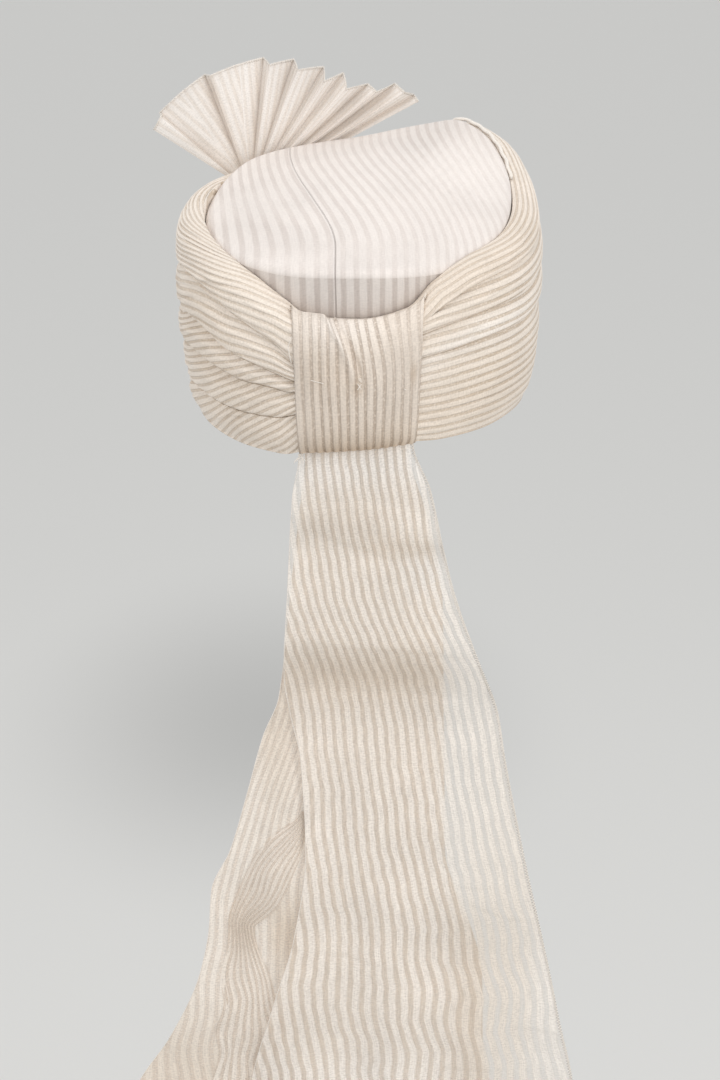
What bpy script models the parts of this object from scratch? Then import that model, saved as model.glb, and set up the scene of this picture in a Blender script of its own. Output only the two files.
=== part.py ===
"""Ready-made turban (pagri): a cloth cap, five wound bands, a keeper loop, two tail panels and a fan.

Metres, +Z up. The origin is the centre of the head opening, level with the lowest edge of the
wound cloth. The back of the head faces +Y and the wearer's left is +X. A turn is the angle in
degrees around the head, 0 at the middle of the back and growing towards the wearer's right.
"""
import math
from collections import namedtuple

import bmesh
import bpy
from mathutils import Vector

# Head opening and the cap that the bands are wound on
HEAD_WIDTH = 0.164
HEAD_LENGTH = 0.200
CAP_WALL = 0.002
CAP_FLARE = 0.008
CAP_LEAN = 0.0025
CAP_HEM_TUCK = 0.002
CROWN_HEIGHT = 0.157
CROWN_DOME = 0.006
CROWN_EDGE_ROUND = 0.007
CROWN_TILT_EASE = 1.5

# Wound bands
WRAP_HEIGHT = 0.154
WRAP_DEPTH = 0.0205
BAND_COUNT = 5
RELIEF_LEFT = 0.17
RELIEF_RIGHT = 0.07
PIECE_GAP = 0.0004
FOLD_GAP = 0.0008

# Keeper loop over the bands at the back
LOOP_WIDTH = 0.073
LOOP_FOOT_WIDTH = 0.065
LOOP_FOOT_SHIFT = 0.0025
LOOP_THICKNESS = 0.0016
LOOP_CLEARANCE = 0.0016

# Tail panels that hang from under the loop
TAIL_LENGTH = 0.403
TAIL_SPREAD = 0.194
TAIL_CLOTH = 0.0011
TAIL_BOW = 0.014
TAIL_WAVE = 0.0022
TAIL_WAVE_LENGTH = 0.056
TAIL_WAVE_DRIFT = 4.0
TAIL_SETTLE_SHARE = 0.125
PANEL_DISTANCE = 0.0035
INNER_SPREAD = 0.215

# Pleated fan that stands at the wearer's left front, on the wound cloth
FAN_RADIUS = 0.118
FAN_CLOTH = 0.0012
FAN_TURN = -140.0
FAN_YAW = 16.0
FAN_SEAT_SHARE = 0.65
FAN_SEAT_DROP = 0.0176
FAN_PLEAT = 0.0040
FAN_CORE = 0.012
FAN_CLEARANCE = 0.0008

# Mesh divisions
STATIONS = 44
CAP_RINGS = 13
TAIL_ROWS = 22
TAIL_COLUMNS = 15
LOOP_COLUMNS = 10
FAN_ROWS = 5

# Edge of the crown around the head, as a share of CROWN_HEIGHT
CrownSection = namedtuple("CrownSection", "turn edge")
CROWN_SECTIONS = (
    CrownSection(-165, 0.870),
    CrownSection(-135, 0.850),
    CrownSection(-120, 0.812),
    CrownSection(-105, 0.765),
    CrownSection(-90, 0.735),
    CrownSection(-60, 0.690),
    CrownSection(-30, 0.664),
    CrownSection(0, 0.675),
    CrownSection(30, 0.664),
    CrownSection(50, 0.712),
    CrownSection(67, 0.750),
    CrownSection(90, 0.835),
    CrownSection(106, 0.905),
    CrownSection(123, 0.975),
    CrownSection(137, 1.000),
    CrownSection(150, 0.965),
    CrownSection(165, 0.922),
    CrownSection(180, 0.885),
)

# Wound cloth around the head. low and top are shares of WRAP_HEIGHT, and each fold between two
# bands is a share of the height from low to top.
WrapSection = namedtuple("WrapSection", "turn low top fold_1 fold_2 fold_3 fold_4")
WRAP_SECTIONS = (
    WrapSection(-150, 0.013, 0.818, 0.22, 0.39, 0.56, 0.76),
    WrapSection(-120, 0.013, 0.810, 0.21, 0.38, 0.55, 0.75),
    WrapSection(-90, 0.020, 0.768, 0.19, 0.36, 0.55, 0.765),
    WrapSection(-60, 0.008, 0.706, 0.195, 0.41, 0.60, 0.83),
    WrapSection(-42, 0.000, 0.655, 0.213, 0.406, 0.545, 0.78),
    WrapSection(-28, 0.000, 0.584, 0.255, 0.45, 0.555, 0.755),
    WrapSection(-18, 0.028, 0.530, 0.30, 0.457, 0.54, 0.68),
    WrapSection(0, 0.050, 0.528, 0.28, 0.53, 0.65, 0.78),
    WrapSection(18, 0.064, 0.562, 0.25, 0.63, 0.80, 0.91),
    WrapSection(28, 0.058, 0.650, 0.22, 0.54, 0.72, 0.875),
    WrapSection(45, 0.058, 0.724, 0.20, 0.507, 0.712, 0.878),
    WrapSection(65, 0.065, 0.747, 0.19, 0.56, 0.74, 0.93),
    WrapSection(90, 0.058, 0.812, 0.18, 0.52, 0.73, 0.92),
    WrapSection(105, 0.052, 0.896, 0.18, 0.50, 0.70, 0.89),
    WrapSection(120, 0.045, 0.975, 0.19, 0.48, 0.67, 0.85),
    WrapSection(135, 0.040, 1.000, 0.20, 0.46, 0.64, 0.83),
    WrapSection(150, 0.030, 0.961, 0.21, 0.44, 0.62, 0.81),
    WrapSection(180, 0.020, 0.870, 0.22, 0.41, 0.59, 0.78),
)

# Fullness of the wound cloth up its height, as a share of WRAP_DEPTH
ProfileRow = namedtuple("ProfileRow", "rise depth")
WRAP_PROFILE = (
    ProfileRow(0.00, 0.62),
    ProfileRow(0.08, 0.80),
    ProfileRow(0.16, 0.89),
    ProfileRow(0.35, 0.96),
    ProfileRow(0.52, 1.00),
    ProfileRow(0.75, 0.97),
    ProfileRow(0.88, 0.87),
    ProfileRow(0.95, 0.70),
    ProfileRow(1.00, 0.42),
)

# Outer points of a band's section from its lower fold up, and how much of the groove's depth
# each one takes at the fold below and at the fold above
BandPoint = namedtuple("BandPoint", "rise below above")
BAND_POINTS = (
    BandPoint(0.00, 0.80, 0.0),
    BandPoint(0.08, 0.30, 0.0),
    BandPoint(0.27, 0.0, 0.0),
    BandPoint(0.52, 0.0, 0.05),
    BandPoint(0.76, 0.0, 0.25),
    BandPoint(0.93, 0.0, 0.65),
    BandPoint(1.00, 0.0, 1.0),
)

# Edges of a tail panel down its length. left and right are distances from the middle of the
# back as shares of the panel's spread, and bow is how far it stands back, a share of TAIL_BOW.
TailRow = namedtuple("TailRow", "drop left right bow")
OUTER_PANEL = (
    TailRow(0.00, 0.183, 0.155, 0.00),
    TailRow(0.06, 0.203, 0.207, 0.00),
    TailRow(0.20, 0.219, 0.278, -0.10),
    TailRow(0.33, 0.232, 0.372, -0.38),
    TailRow(0.40, 0.212, 0.417, -0.45),
    TailRow(0.46, 0.183, 0.437, -0.15),
    TailRow(0.60, 0.168, 0.495, 0.35),
    TailRow(0.73, 0.205, 0.555, 0.65),
    TailRow(0.84, 0.272, 0.603, 0.85),
    TailRow(1.00, 0.345, 0.662, 1.00),
)
INNER_PANEL = (
    TailRow(0.00, 0.148, 0.120, 0.00),
    TailRow(0.10, 0.168, 0.180, -0.05),
    TailRow(0.22, 0.193, 0.219, -0.15),
    TailRow(0.37, 0.224, 0.224, -0.40),
    TailRow(0.43, 0.268, 0.226, -0.40),
    TailRow(0.51, 0.310, 0.228, -0.05),
    TailRow(0.60, 0.360, 0.230, 0.25),
    TailRow(0.66, 0.412, 0.262, 0.40),
    TailRow(0.72, 0.420, 0.305, 0.50),
    TailRow(0.79, 0.447, 0.335, 0.60),
    TailRow(0.90, 0.537, 0.338, 0.75),
    TailRow(1.00, 0.640, 0.368, 0.85),
)

# Fan creases from the wearer's left over to the right: the angle above level, the reach as a
# share of FAN_RADIUS, and how far the crease stands out as a share of FAN_PLEAT
FanCrease = namedtuple("FanCrease", "angle reach pleat")
FAN_CREASES = (
    FanCrease(35, 0.627, 0.2),
    FanCrease(43, 0.646, -0.6),
    FanCrease(56, 0.652, 0.2),
    FanCrease(71, 0.666, 0.9),
    FanCrease(79, 0.668, -0.8),
    FanCrease(85, 0.680, 0.5),
    FanCrease(96, 0.703, 1.0),
    FanCrease(99, 0.672, -1.0),
    FanCrease(109, 0.730, 1.0),
    FanCrease(111, 0.672, -1.0),
    FanCrease(122, 0.750, 1.0),
    FanCrease(124, 0.690, -1.0),
    FanCrease(129, 0.785, 1.0),
    FanCrease(134, 0.730, -1.0),
    FanCrease(138, 0.835, 1.0),
    FanCrease(143, 0.835, -1.0),
    FanCrease(146, 0.950, 1.0),
    FanCrease(149, 0.955, -1.0),
    FanCrease(152, 1.005, 1.0),
    FanCrease(155, 1.005, 0.0),
)

CREAM = (0.86, 0.78, 0.70)
PALE_CREAM = (0.84, 0.79, 0.76)
SHEER_CREAM = (0.80, 0.72, 0.65)
CLOTH_ROUGHNESS = 0.75
TAIL_ALPHA = 0.85
FAN_ALPHA = 0.9


def interpolate(rows, column, at, period=None):
    """Read a table's named column between its rows, on a curve that never passes beyond them."""
    knots = [(row[0], getattr(row, column)) for row in rows]
    if period:
        before = [(key - period, value) for key, value in knots[-2:]]
        after = [(key + period, value) for key, value in knots[:2]]
        knots = before + knots + after
        while at < rows[0][0]:
            at += period
        while at > rows[0][0] + period:
            at -= period
    at = min(max(at, knots[0][0]), knots[-1][0])
    index = max(i for i in range(len(knots) - 1) if knots[i][0] <= at)
    width = knots[index + 1][0] - knots[index][0]
    share = (at - knots[index][0]) / width
    start = knots[index][1]
    end = knots[index + 1][1]
    slope_start = knot_slope(knots, index) * width
    slope_end = knot_slope(knots, index + 1) * width
    rest = 1.0 - share
    return (start * rest * rest * (1.0 + 2.0 * share) + end * share * share * (3.0 - 2.0 * share)
            + slope_start * share * rest * rest - slope_end * share * share * rest)


def knot_slope(knots, index):
    """Slope of the curve at a knot, level where the values turn back."""
    if index == 0 or index == len(knots) - 1:
        return 0.0
    before = (knots[index][1] - knots[index - 1][1]) / (knots[index][0] - knots[index - 1][0])
    after = (knots[index + 1][1] - knots[index][1]) / (knots[index + 1][0] - knots[index][0])
    if before * after <= 0.0:
        return 0.0
    return 2.0 * before * after / (before + after)


def cap_middle(height):
    """Sideways place of the cap's middle, which leans to the wearer's left as it rises."""
    return CAP_LEAN * height / CROWN_HEIGHT


def cap_point(turn, height, outset=0.0):
    """Point on the cap's outer wall at a turn and height, moved out from the wall by outset."""
    flare = CAP_FLARE * height / CROWN_HEIGHT
    half_width = HEAD_WIDTH / 2 + CAP_WALL + flare + outset
    half_length = HEAD_LENGTH / 2 + CAP_WALL + flare + outset
    angle = math.radians(turn)
    return Vector((cap_middle(height) - half_width * math.sin(angle), half_length * math.cos(angle), height))


def turn_at(x, y):
    """Turn of a plan position, measured on the cap's own ellipse."""
    return math.degrees(math.atan2(-x / HEAD_WIDTH, y / HEAD_LENGTH))


def turn_at_side(x, height, outset):
    """Turn at which the back of the wall, moved out by outset, has the given x."""
    flare = CAP_FLARE * height / CROWN_HEIGHT
    half_width = HEAD_WIDTH / 2 + CAP_WALL + flare + outset
    return -math.degrees(math.asin(max(-1.0, min(1.0, x / half_width))))


def crown_edge(turn):
    return CROWN_HEIGHT * interpolate(CROWN_SECTIONS, "edge", turn, 360)


def mean_crown_edge():
    turns = range(0, 360, 10)
    return sum(crown_edge(turn) for turn in turns) / len(turns)


def crown_top(turn, radius_share, mean_edge):
    """Height of the crown's cloth, stretched from its edge over a low dome."""
    tilt = (crown_edge(turn) - mean_edge) * radius_share ** CROWN_TILT_EASE
    return mean_edge + tilt + CROWN_DOME * (1.0 - radius_share ** 2)


def wrap_low(turn):
    return WRAP_HEIGHT * interpolate(WRAP_SECTIONS, "low", turn, 360)


def wrap_top(turn):
    return WRAP_HEIGHT * interpolate(WRAP_SECTIONS, "top", turn, 360)


def wrap_depth(rise):
    return WRAP_DEPTH * interpolate(WRAP_PROFILE, "depth", rise)


def fold_rise(turn, number):
    """Rise of the fold above a band: 0 is the wrap's lower edge and BAND_COUNT its top."""
    if number == 0:
        return 0.0
    if number == BAND_COUNT:
        return 1.0
    return interpolate(WRAP_SECTIONS, "fold_%d" % number, turn, 360)


def groove_share(turn, number):
    """Depth of a fold's groove as a share of the wrap, deep on the left and faint on the right."""
    if number in (0, BAND_COUNT):
        return 0.0
    left = 0.5 - 0.5 * math.sin(math.radians(turn))
    if number == 1:
        left = left ** 2
        return RELIEF_LEFT * left
    return RELIEF_RIGHT + (RELIEF_LEFT - RELIEF_RIGHT) * left


def add_object(name, mesh, collection, colour, alpha=1.0):
    obj = bpy.data.objects.new(name, mesh)
    collection.objects.link(obj)
    material = bpy.data.materials.new(name)
    material.use_nodes = True
    shader = material.node_tree.nodes["Principled BSDF"]
    shader.inputs["Base Color"].default_value = (*colour, 1.0)
    shader.inputs["Roughness"].default_value = CLOTH_ROUGHNESS
    shader.inputs["Metallic"].default_value = 0.0
    shader.inputs["Alpha"].default_value = alpha
    mesh.materials.append(material)
    mesh.shade_smooth()
    return obj


def add_cloth(obj, thickness, offset):
    cloth = obj.modifiers.new("cloth", "SOLIDIFY")
    cloth.thickness = thickness
    cloth.offset = offset
    cloth.use_rim = True


def grid_mesh(name, columns, rows, place):
    """A grid of cells bent into a sheet: place gives the point at each pair of shares."""
    mesh = bpy.data.meshes.new(name)
    shape = bmesh.new()
    bmesh.ops.create_grid(shape, x_segments=columns, y_segments=rows, size=0.5)
    for vertex in shape.verts:
        vertex.co = place(vertex.co.x + 0.5, vertex.co.y + 0.5)
    shape.to_mesh(mesh)
    shape.free()
    return mesh


def make_crown_cap(collection):
    """The cap: a dome-shaped primitive bent into wall, edge and top, with its cloth inside it."""
    mean_edge = mean_crown_edge()
    top_share = 0.46
    edge_share = 0.70
    mesh = bpy.data.meshes.new("crown_cap")
    shape = bmesh.new()
    bmesh.ops.create_uvsphere(shape, u_segments=STATIONS, v_segments=2 * CAP_RINGS, radius=1.0)
    below_rim = -0.5 / CAP_RINGS
    lower = [vertex for vertex in shape.verts if vertex.co.z < below_rim]
    bmesh.ops.delete(shape, geom=lower, context="VERTS")
    for vertex in shape.verts:
        turn = math.degrees(math.atan2(-vertex.co.x, vertex.co.y))
        way = math.acos(max(-1.0, min(1.0, vertex.co.z))) / (math.pi / 2)
        edge = crown_edge(turn)
        round_share = CROWN_EDGE_ROUND / (HEAD_WIDTH / 2)
        if way > edge_share:
            fall = (way - edge_share) / (1.0 - edge_share)
            high = edge - CROWN_EDGE_ROUND
            low = wrap_low(turn) + CAP_HEM_TUCK
            vertex.co = cap_point(turn, high + (low - high) * min(fall, 1.0))
            continue
        if way > top_share:
            bend = math.pi / 2 * (way - top_share) / (edge_share - top_share)
        else:
            bend = 0.0
        radius_share = 1.0 - round_share * (1.0 - math.sin(bend))
        if way <= top_share:
            radius_share *= way / top_share
        height = crown_top(turn, radius_share, mean_edge) - CROWN_EDGE_ROUND * (1.0 - math.cos(bend))
        rim = cap_point(turn, edge - CROWN_EDGE_ROUND)
        middle = cap_middle(height)
        rim_x = rim.x - cap_middle(rim.z)
        vertex.co = (middle + rim_x * radius_share, rim.y * radius_share, height)
    shape.to_mesh(mesh)
    shape.free()
    cap = add_object("crown_cap", mesh, collection, PALE_CREAM)
    add_cloth(cap, CAP_WALL, -1.0)
    return cap


def band_section(turn, number):
    """Points of one band's section at a turn, from the middle of its outer face upwards."""
    low = wrap_low(turn)
    height = wrap_top(turn) - low
    start = fold_rise(turn, number)
    end = fold_rise(turn, number + 1)
    below = groove_share(turn, number)
    above = groove_share(turn, number + 1)
    foot = low + height * start + FOLD_GAP / 2
    head = low + height * end - FOLD_GAP / 2
    outer = []
    for point in BAND_POINTS:
        rise = start + (end - start) * point.rise
        depth = wrap_depth(rise) * (1.0 - below * point.below - above * point.above)
        level = foot + (head - foot) * point.rise
        outer.append(cap_point(turn, level, depth))
    inner = [cap_point(turn, head, PIECE_GAP), cap_point(turn, foot, PIECE_GAP)]
    middle = len(outer) // 2
    return outer[middle:] + inner + outer[:middle]


def make_wrap_band(collection, number):
    """One wound band: a ring primitive whose sections follow the folds around the head."""
    points = len(BAND_POINTS) + 2
    bpy.ops.mesh.primitive_torus_add(major_segments=STATIONS, minor_segments=points,
                                     major_radius=1.0, minor_radius=0.25)
    ring = bpy.context.object
    mesh = ring.data
    bpy.data.objects.remove(ring)
    mesh.name = "wrap_band_%d" % (number + 1)
    for station in range(STATIONS):
        turn = 360.0 * station / STATIONS - 90.0
        for index, point in enumerate(band_section(turn, number)):
            mesh.vertices[station * points + index].co = point
    return add_object(mesh.name, mesh, collection, CREAM)


def loop_path(x_share, way):
    """Point on the loop's inner face: way runs from behind the top band, over and down, to under."""
    inner_end = 0.75
    foot_end = 0.40
    top_end = 0.14
    foot_start = 0.84
    ease = 0.3
    foot_x = LOOP_FOOT_WIDTH * x_share + LOOP_FOOT_SHIFT
    x = LOOP_WIDTH * x_share + (foot_x - LOOP_WIDTH * x_share) * way
    rise = min(max((foot_start - way) / (foot_start - top_end), 0.0), 1.0)
    rise = 0.5 - 0.5 * math.cos(math.pi * rise)
    depth = wrap_depth(rise)
    if way < top_end:
        depth *= inner_end + (1.0 - inner_end) * way / top_end
    if way > foot_start:
        depth *= 1.0 - (1.0 - foot_end) * (way - foot_start) / (1.0 - foot_start)
    turn = turn_at_side(x, 0.0, depth)
    low = wrap_low(turn) - LOOP_CLEARANCE
    height = wrap_top(turn) + LOOP_CLEARANCE - low
    outset = depth + LOOP_CLEARANCE * math.sin(math.pi * rise) ** ease
    return cap_point(turn, low + height * rise, outset)


def make_back_loop(collection):
    path_rows = 16
    mesh = grid_mesh("back_loop", LOOP_COLUMNS, path_rows,
                     lambda across, way: loop_path(across - 0.5, way))
    loop = add_object("back_loop", mesh, collection, CREAM)
    add_cloth(loop, LOOP_THICKNESS, 1.0)
    return loop


def tail_point(rows, spread, seat_depth, across, drop):
    """Point on a tail panel: across runs from its left edge to its right, drop from top to end."""
    left = spread * interpolate(rows, "left", drop)
    right = -spread * interpolate(rows, "right", drop)
    x = left + (right - left) * across
    phase = math.tau * x / TAIL_WAVE_LENGTH + TAIL_WAVE_DRIFT * drop
    wave = TAIL_WAVE * math.sin(phase) * min(1.0, 2.0 * drop)
    bow = TAIL_BOW * interpolate(rows, "bow", drop)
    top = wrap_low(turn_at_side(x, 0.0, seat_depth)) - LOOP_CLEARANCE - LOOP_THICKNESS - PIECE_GAP
    settle = max(0.0, 1.0 - drop / TAIL_SETTLE_SHARE)
    back = cap_point(turn_at_side(x, 0.0, seat_depth), 0.0, seat_depth).y
    level_back = cap_point(0.0, 0.0, seat_depth).y
    y = level_back + (back - level_back) * settle
    return Vector((x, y + wave + bow, top * settle - TAIL_LENGTH * drop))


def make_tail_panel(collection, name, rows, spread, seat_depth):
    mesh = grid_mesh(name, TAIL_COLUMNS, TAIL_ROWS,
                     lambda across, drop: tail_point(rows, spread, seat_depth, across, drop))
    panel = add_object(name, mesh, collection, SHEER_CREAM, TAIL_ALPHA)
    add_cloth(panel, TAIL_CLOTH, 0.0)
    return panel


def wrap_surface(turn, depth):
    """Height of the wound cloth's upper side where it is that deep, or none outside it."""
    steps = 60
    for step in range(steps):
        rise = 1.0 - step / steps
        if wrap_depth(rise) > depth:
            return wrap_low(turn) + (wrap_top(turn) - wrap_low(turn)) * rise
        if wrap_depth(rise) == WRAP_DEPTH:
            break
    return -math.inf


def clear_height(point):
    """Height that clears the wound cloth and the crown under a plan position."""
    middle = cap_middle(point.z)
    turn = turn_at(point.x - middle, point.y)
    wall = cap_point(turn, point.z)
    depth = math.hypot(point.x - middle, point.y) - math.hypot(wall.x - middle, wall.y)
    if depth < FAN_CLOTH + FAN_CLEARANCE:
        return crown_edge(turn) + FAN_CLEARANCE
    return wrap_surface(turn, depth - FAN_CLEARANCE) + FAN_CLEARANCE


def fan_point(crease_share, way):
    """Point on the fan: crease_share picks the crease, and way runs out from foot to edge."""
    crease = FAN_CREASES[round(crease_share * (len(FAN_CREASES) - 1))]
    pivot = cap_point(FAN_TURN, wrap_top(FAN_TURN) - FAN_SEAT_DROP, WRAP_DEPTH * FAN_SEAT_SHARE)
    angle = math.radians(crease.angle)
    yaw = math.radians(FAN_YAW)
    outward = Vector((math.cos(angle) * math.cos(yaw), math.cos(angle) * math.sin(yaw), math.sin(angle)))
    facing = Vector((-math.sin(yaw), math.cos(yaw), 0.0))

    def at(radius, pleat):
        return pivot + outward * radius + facing * FAN_PLEAT * pleat * radius / FAN_RADIUS

    foot = FAN_CORE
    step = FAN_RADIUS / 200
    while any(at(foot, side).z < clear_height(at(foot, side)) for side in (-1, 1)):
        foot += step
    return at(foot + (FAN_RADIUS * crease.reach - foot) * way, crease.pleat)


def make_turra_fan(collection):
    mesh = grid_mesh("turra_fan", len(FAN_CREASES) - 1, FAN_ROWS, fan_point)
    fan = add_object("turra_fan", mesh, collection, CREAM, FAN_ALPHA)
    add_cloth(fan, FAN_CLOTH, 0.0)
    return fan


def clear_scene():
    for obj in list(bpy.data.objects):
        bpy.data.objects.remove(obj)


def make_pagri():
    clear_scene()
    collection = bpy.data.collections.new("pagri")
    bpy.context.scene.collection.children.link(collection)
    seat = bpy.data.objects.new("head_seat", None)
    collection.objects.link(seat)
    pieces = [make_crown_cap(collection)]
    for number in range(BAND_COUNT):
        pieces.append(make_wrap_band(collection, number))
    pieces.append(make_back_loop(collection))
    outer_seat = WRAP_DEPTH / 2
    inner_seat = outer_seat - PANEL_DISTANCE
    pieces.append(make_tail_panel(collection, "tail_outer_panel", OUTER_PANEL, TAIL_SPREAD, outer_seat))
    pieces.append(make_tail_panel(collection, "tail_inner_panel", INNER_PANEL, INNER_SPREAD, inner_seat))
    pieces.append(make_turra_fan(collection))
    for piece in pieces:
        piece.parent = seat


make_pagri()
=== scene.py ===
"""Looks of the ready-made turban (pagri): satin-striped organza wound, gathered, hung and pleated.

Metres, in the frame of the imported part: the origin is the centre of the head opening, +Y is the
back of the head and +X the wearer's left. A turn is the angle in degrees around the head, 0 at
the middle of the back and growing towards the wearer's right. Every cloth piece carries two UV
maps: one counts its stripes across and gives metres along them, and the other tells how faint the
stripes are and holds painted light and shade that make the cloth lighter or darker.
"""
import math
from collections import namedtuple

import bmesh
import bpy
import numpy as np
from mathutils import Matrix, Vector


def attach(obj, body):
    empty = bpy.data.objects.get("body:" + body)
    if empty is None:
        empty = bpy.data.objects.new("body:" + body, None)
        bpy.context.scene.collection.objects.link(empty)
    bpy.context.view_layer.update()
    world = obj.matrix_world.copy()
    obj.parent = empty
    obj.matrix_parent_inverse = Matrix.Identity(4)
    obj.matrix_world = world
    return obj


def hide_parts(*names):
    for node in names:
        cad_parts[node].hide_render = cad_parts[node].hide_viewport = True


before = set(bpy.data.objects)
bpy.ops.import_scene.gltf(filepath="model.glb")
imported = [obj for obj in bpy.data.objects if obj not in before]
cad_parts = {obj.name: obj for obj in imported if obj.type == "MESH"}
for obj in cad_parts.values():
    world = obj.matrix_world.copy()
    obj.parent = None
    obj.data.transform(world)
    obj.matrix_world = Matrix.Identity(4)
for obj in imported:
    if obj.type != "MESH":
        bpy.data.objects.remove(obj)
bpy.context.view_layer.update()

BODY = "root"
STRIPE_MAP = "stripes"
# The second UV map holds how faint the stripes are and a painted light and shade factor for the colour.
FAINT_AND_SHADE_MAP = "faint_and_painted_shade"

# Head opening and the cap
HEAD_WIDTH = 0.164
HEAD_LENGTH = 0.2
CAP_WALL = 0.002
CAP_FLARE = 0.008
CAP_LEAN = 0.0025
CAP_HEM_TUCK = 0.002
CROWN_HEIGHT = 0.157
CROWN_DOME = 0.006
CROWN_EDGE_ROUND = 0.0035
CROWN_CLOTH = 0.0012

# Wound bands
WRAP_HEIGHT = 0.154
WRAP_DEPTH = 0.0205
BAND_COUNT = 5
RELIEF_LEFT = 0.17
RELIEF_RIGHT = 0.11
PIECE_GAP = 0.0004
FOLD_GAP = 0.0008
ROLL_START = 0.9
CLIMB_SHARE = 0.35
RIM_GAP = 0.0007

# Keeper loop
LOOP_WIDTH = 0.073
LOOP_FOOT_WIDTH = 0.065
LOOP_FOOT_SHIFT = 0.0025
LOOP_THICKNESS = 0.0012
LOOP_CLEARANCE = 0.0016
LOOP_STRIPES = 14.0

# Tail panels
TAIL_LENGTH = 0.403
TAIL_SPREAD = 0.194
TAIL_BOW = 0.014
TAIL_SETTLE_SHARE = 0.125
PANEL_DISTANCE = 0.0035
INNER_SPREAD = 0.215

# Fan
FAN_RADIUS = 0.118
FAN_TURN = -140.0
FAN_YAW = 16.0
FAN_SEAT_SHARE = 0.65
FAN_SEAT_DROP = 0.0176
FAN_PLEAT = 0.004

# Cloth and thread
STRIPE_PERIOD = 0.0052
THREAD_UP = (0.12, 0.31, 0.94)


def table(kind, *rows):
    """Rows of plain numbers as named rows."""
    return tuple(kind(*row) for row in rows)


CrownSection = namedtuple("CrownSection", "turn edge")
CROWN_SECTIONS = table(
    CrownSection,
    (-165, 0.87), (-135, 0.85), (-120, 0.812), (-105, 0.765), (-90, 0.735), (-60, 0.69),
    (-30, 0.68), (0, 0.69), (30, 0.682), (50, 0.712), (67, 0.75), (90, 0.835), (106, 0.905),
    (123, 0.975), (137, 1.0), (150, 0.965), (165, 0.922), (180, 0.885),
)

# low and top are shares of WRAP_HEIGHT, and each fold is a share of the height from low to top
WrapSection = namedtuple("WrapSection", "turn low top fold_1 fold_2 fold_3 fold_4")
WRAP_SECTIONS = table(
    WrapSection,
    (-150, 0.013, 0.818, 0.22, 0.39, 0.56, 0.76),
    (-120, 0.013, 0.81, 0.21, 0.38, 0.55, 0.75),
    (-90, 0.02, 0.768, 0.19, 0.36, 0.55, 0.765),
    (-60, 0.008, 0.706, 0.195, 0.41, 0.6, 0.83),
    (-42, 0.0, 0.655, 0.213, 0.406, 0.545, 0.78),
    (-28, 0.0, 0.584, 0.255, 0.45, 0.555, 0.755),
    (-18, 0.028, 0.53, 0.3, 0.457, 0.54, 0.68),
    (0, 0.05, 0.528, 0.28, 0.53, 0.65, 0.78),
    (18, 0.064, 0.562, 0.25, 0.655, 0.825, 0.965),
    (28, 0.058, 0.65, 0.22, 0.59, 0.755, 0.918),
    (45, 0.058, 0.724, 0.2, 0.556, 0.712, 0.886),
    (65, 0.065, 0.747, 0.19, 0.548, 0.708, 0.898),
    (90, 0.058, 0.812, 0.18, 0.555, 0.72, 0.91),
    (105, 0.052, 0.896, 0.18, 0.525, 0.7, 0.89),
    (120, 0.045, 0.975, 0.19, 0.48, 0.67, 0.85),
    (135, 0.04, 1.0, 0.2, 0.46, 0.64, 0.83),
    (150, 0.03, 0.961, 0.21, 0.44, 0.62, 0.81),
    (180, 0.02, 0.87, 0.22, 0.41, 0.59, 0.78),
)

ProfileRow = namedtuple("ProfileRow", "rise depth")
WRAP_PROFILE = table(
    ProfileRow,
    (0.0, 0.62), (0.08, 0.8), (0.16, 0.89), (0.35, 0.96), (0.52, 1.0), (0.75, 0.97), (0.88, 0.87),
    (0.95, 0.7), (1.0, 0.42),
)

# Which stripe lies on each band's lower and upper edge around the head
BandStripes = namedtuple(
    "BandStripes", "turn low_1 high_1 low_2 high_2 low_3 high_3 low_4 high_4 low_5 high_5")
BAND_STRIPES = table(
    BandStripes,
    (-180, 0, 6, 0, 5, 0, 5, 0, 5, 0, 8),
    (-135, 0, 5.5, 0, 5, 0, 5.5, 0, 5, 0, 10),
    (-105, 0, 5, 0, 6.5, 0, 7, 0, 6, 0, 14),
    (-86, -0.8, 3.6, -0.7, 5.2, -0.6, 6, -0.4, 5.3, -0.4, 12.6),
    (-62, -4.0, 0.2, -3.3, 1.8, -3.2, 1.6, -1.8, 3.4, -1.8, 8.4),
    (-40, -9.6, -5.0, -7.3, -3.4, -7.0, -4.0, -3.8, 1.2, -4.2, 3.6),
    (-22, -13.6, -8.6, -10.4, -6.9, -9.8, -7.8, -5.1, -0.6, -5.7, 1.0),
    (-9, -16.0, -11.0, -12.4, -9.0, -11.6, -10.0, -6.0, -2.0, -6.8, -0.6),
    (10, -13, -8.6, -8.6, -1.9, -2.4, 0.0, -0.4, 2.2, -0.3, 3.0),
    (24, -13, -8.75, -8.75, -2.0, -2.2, 0.5, -0.3, 2.7, -0.2, 4.0),
    (50, -13, -9.0, -9.0, -1.8, -2.0, 1.2, 0, 3.6, 0, 5.4),
    (90, -13, -9.2, -9.2, -1.6, -2.0, 1.8, 0, 4.4, 0, 6.8),
    (135, -13, -8, -9.4, -3, -3, 1, -2, 3, -2, 6),
    (180, -13, -7, -13, -8, -13, -8, -13, -8, -13, -5),
)

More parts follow.
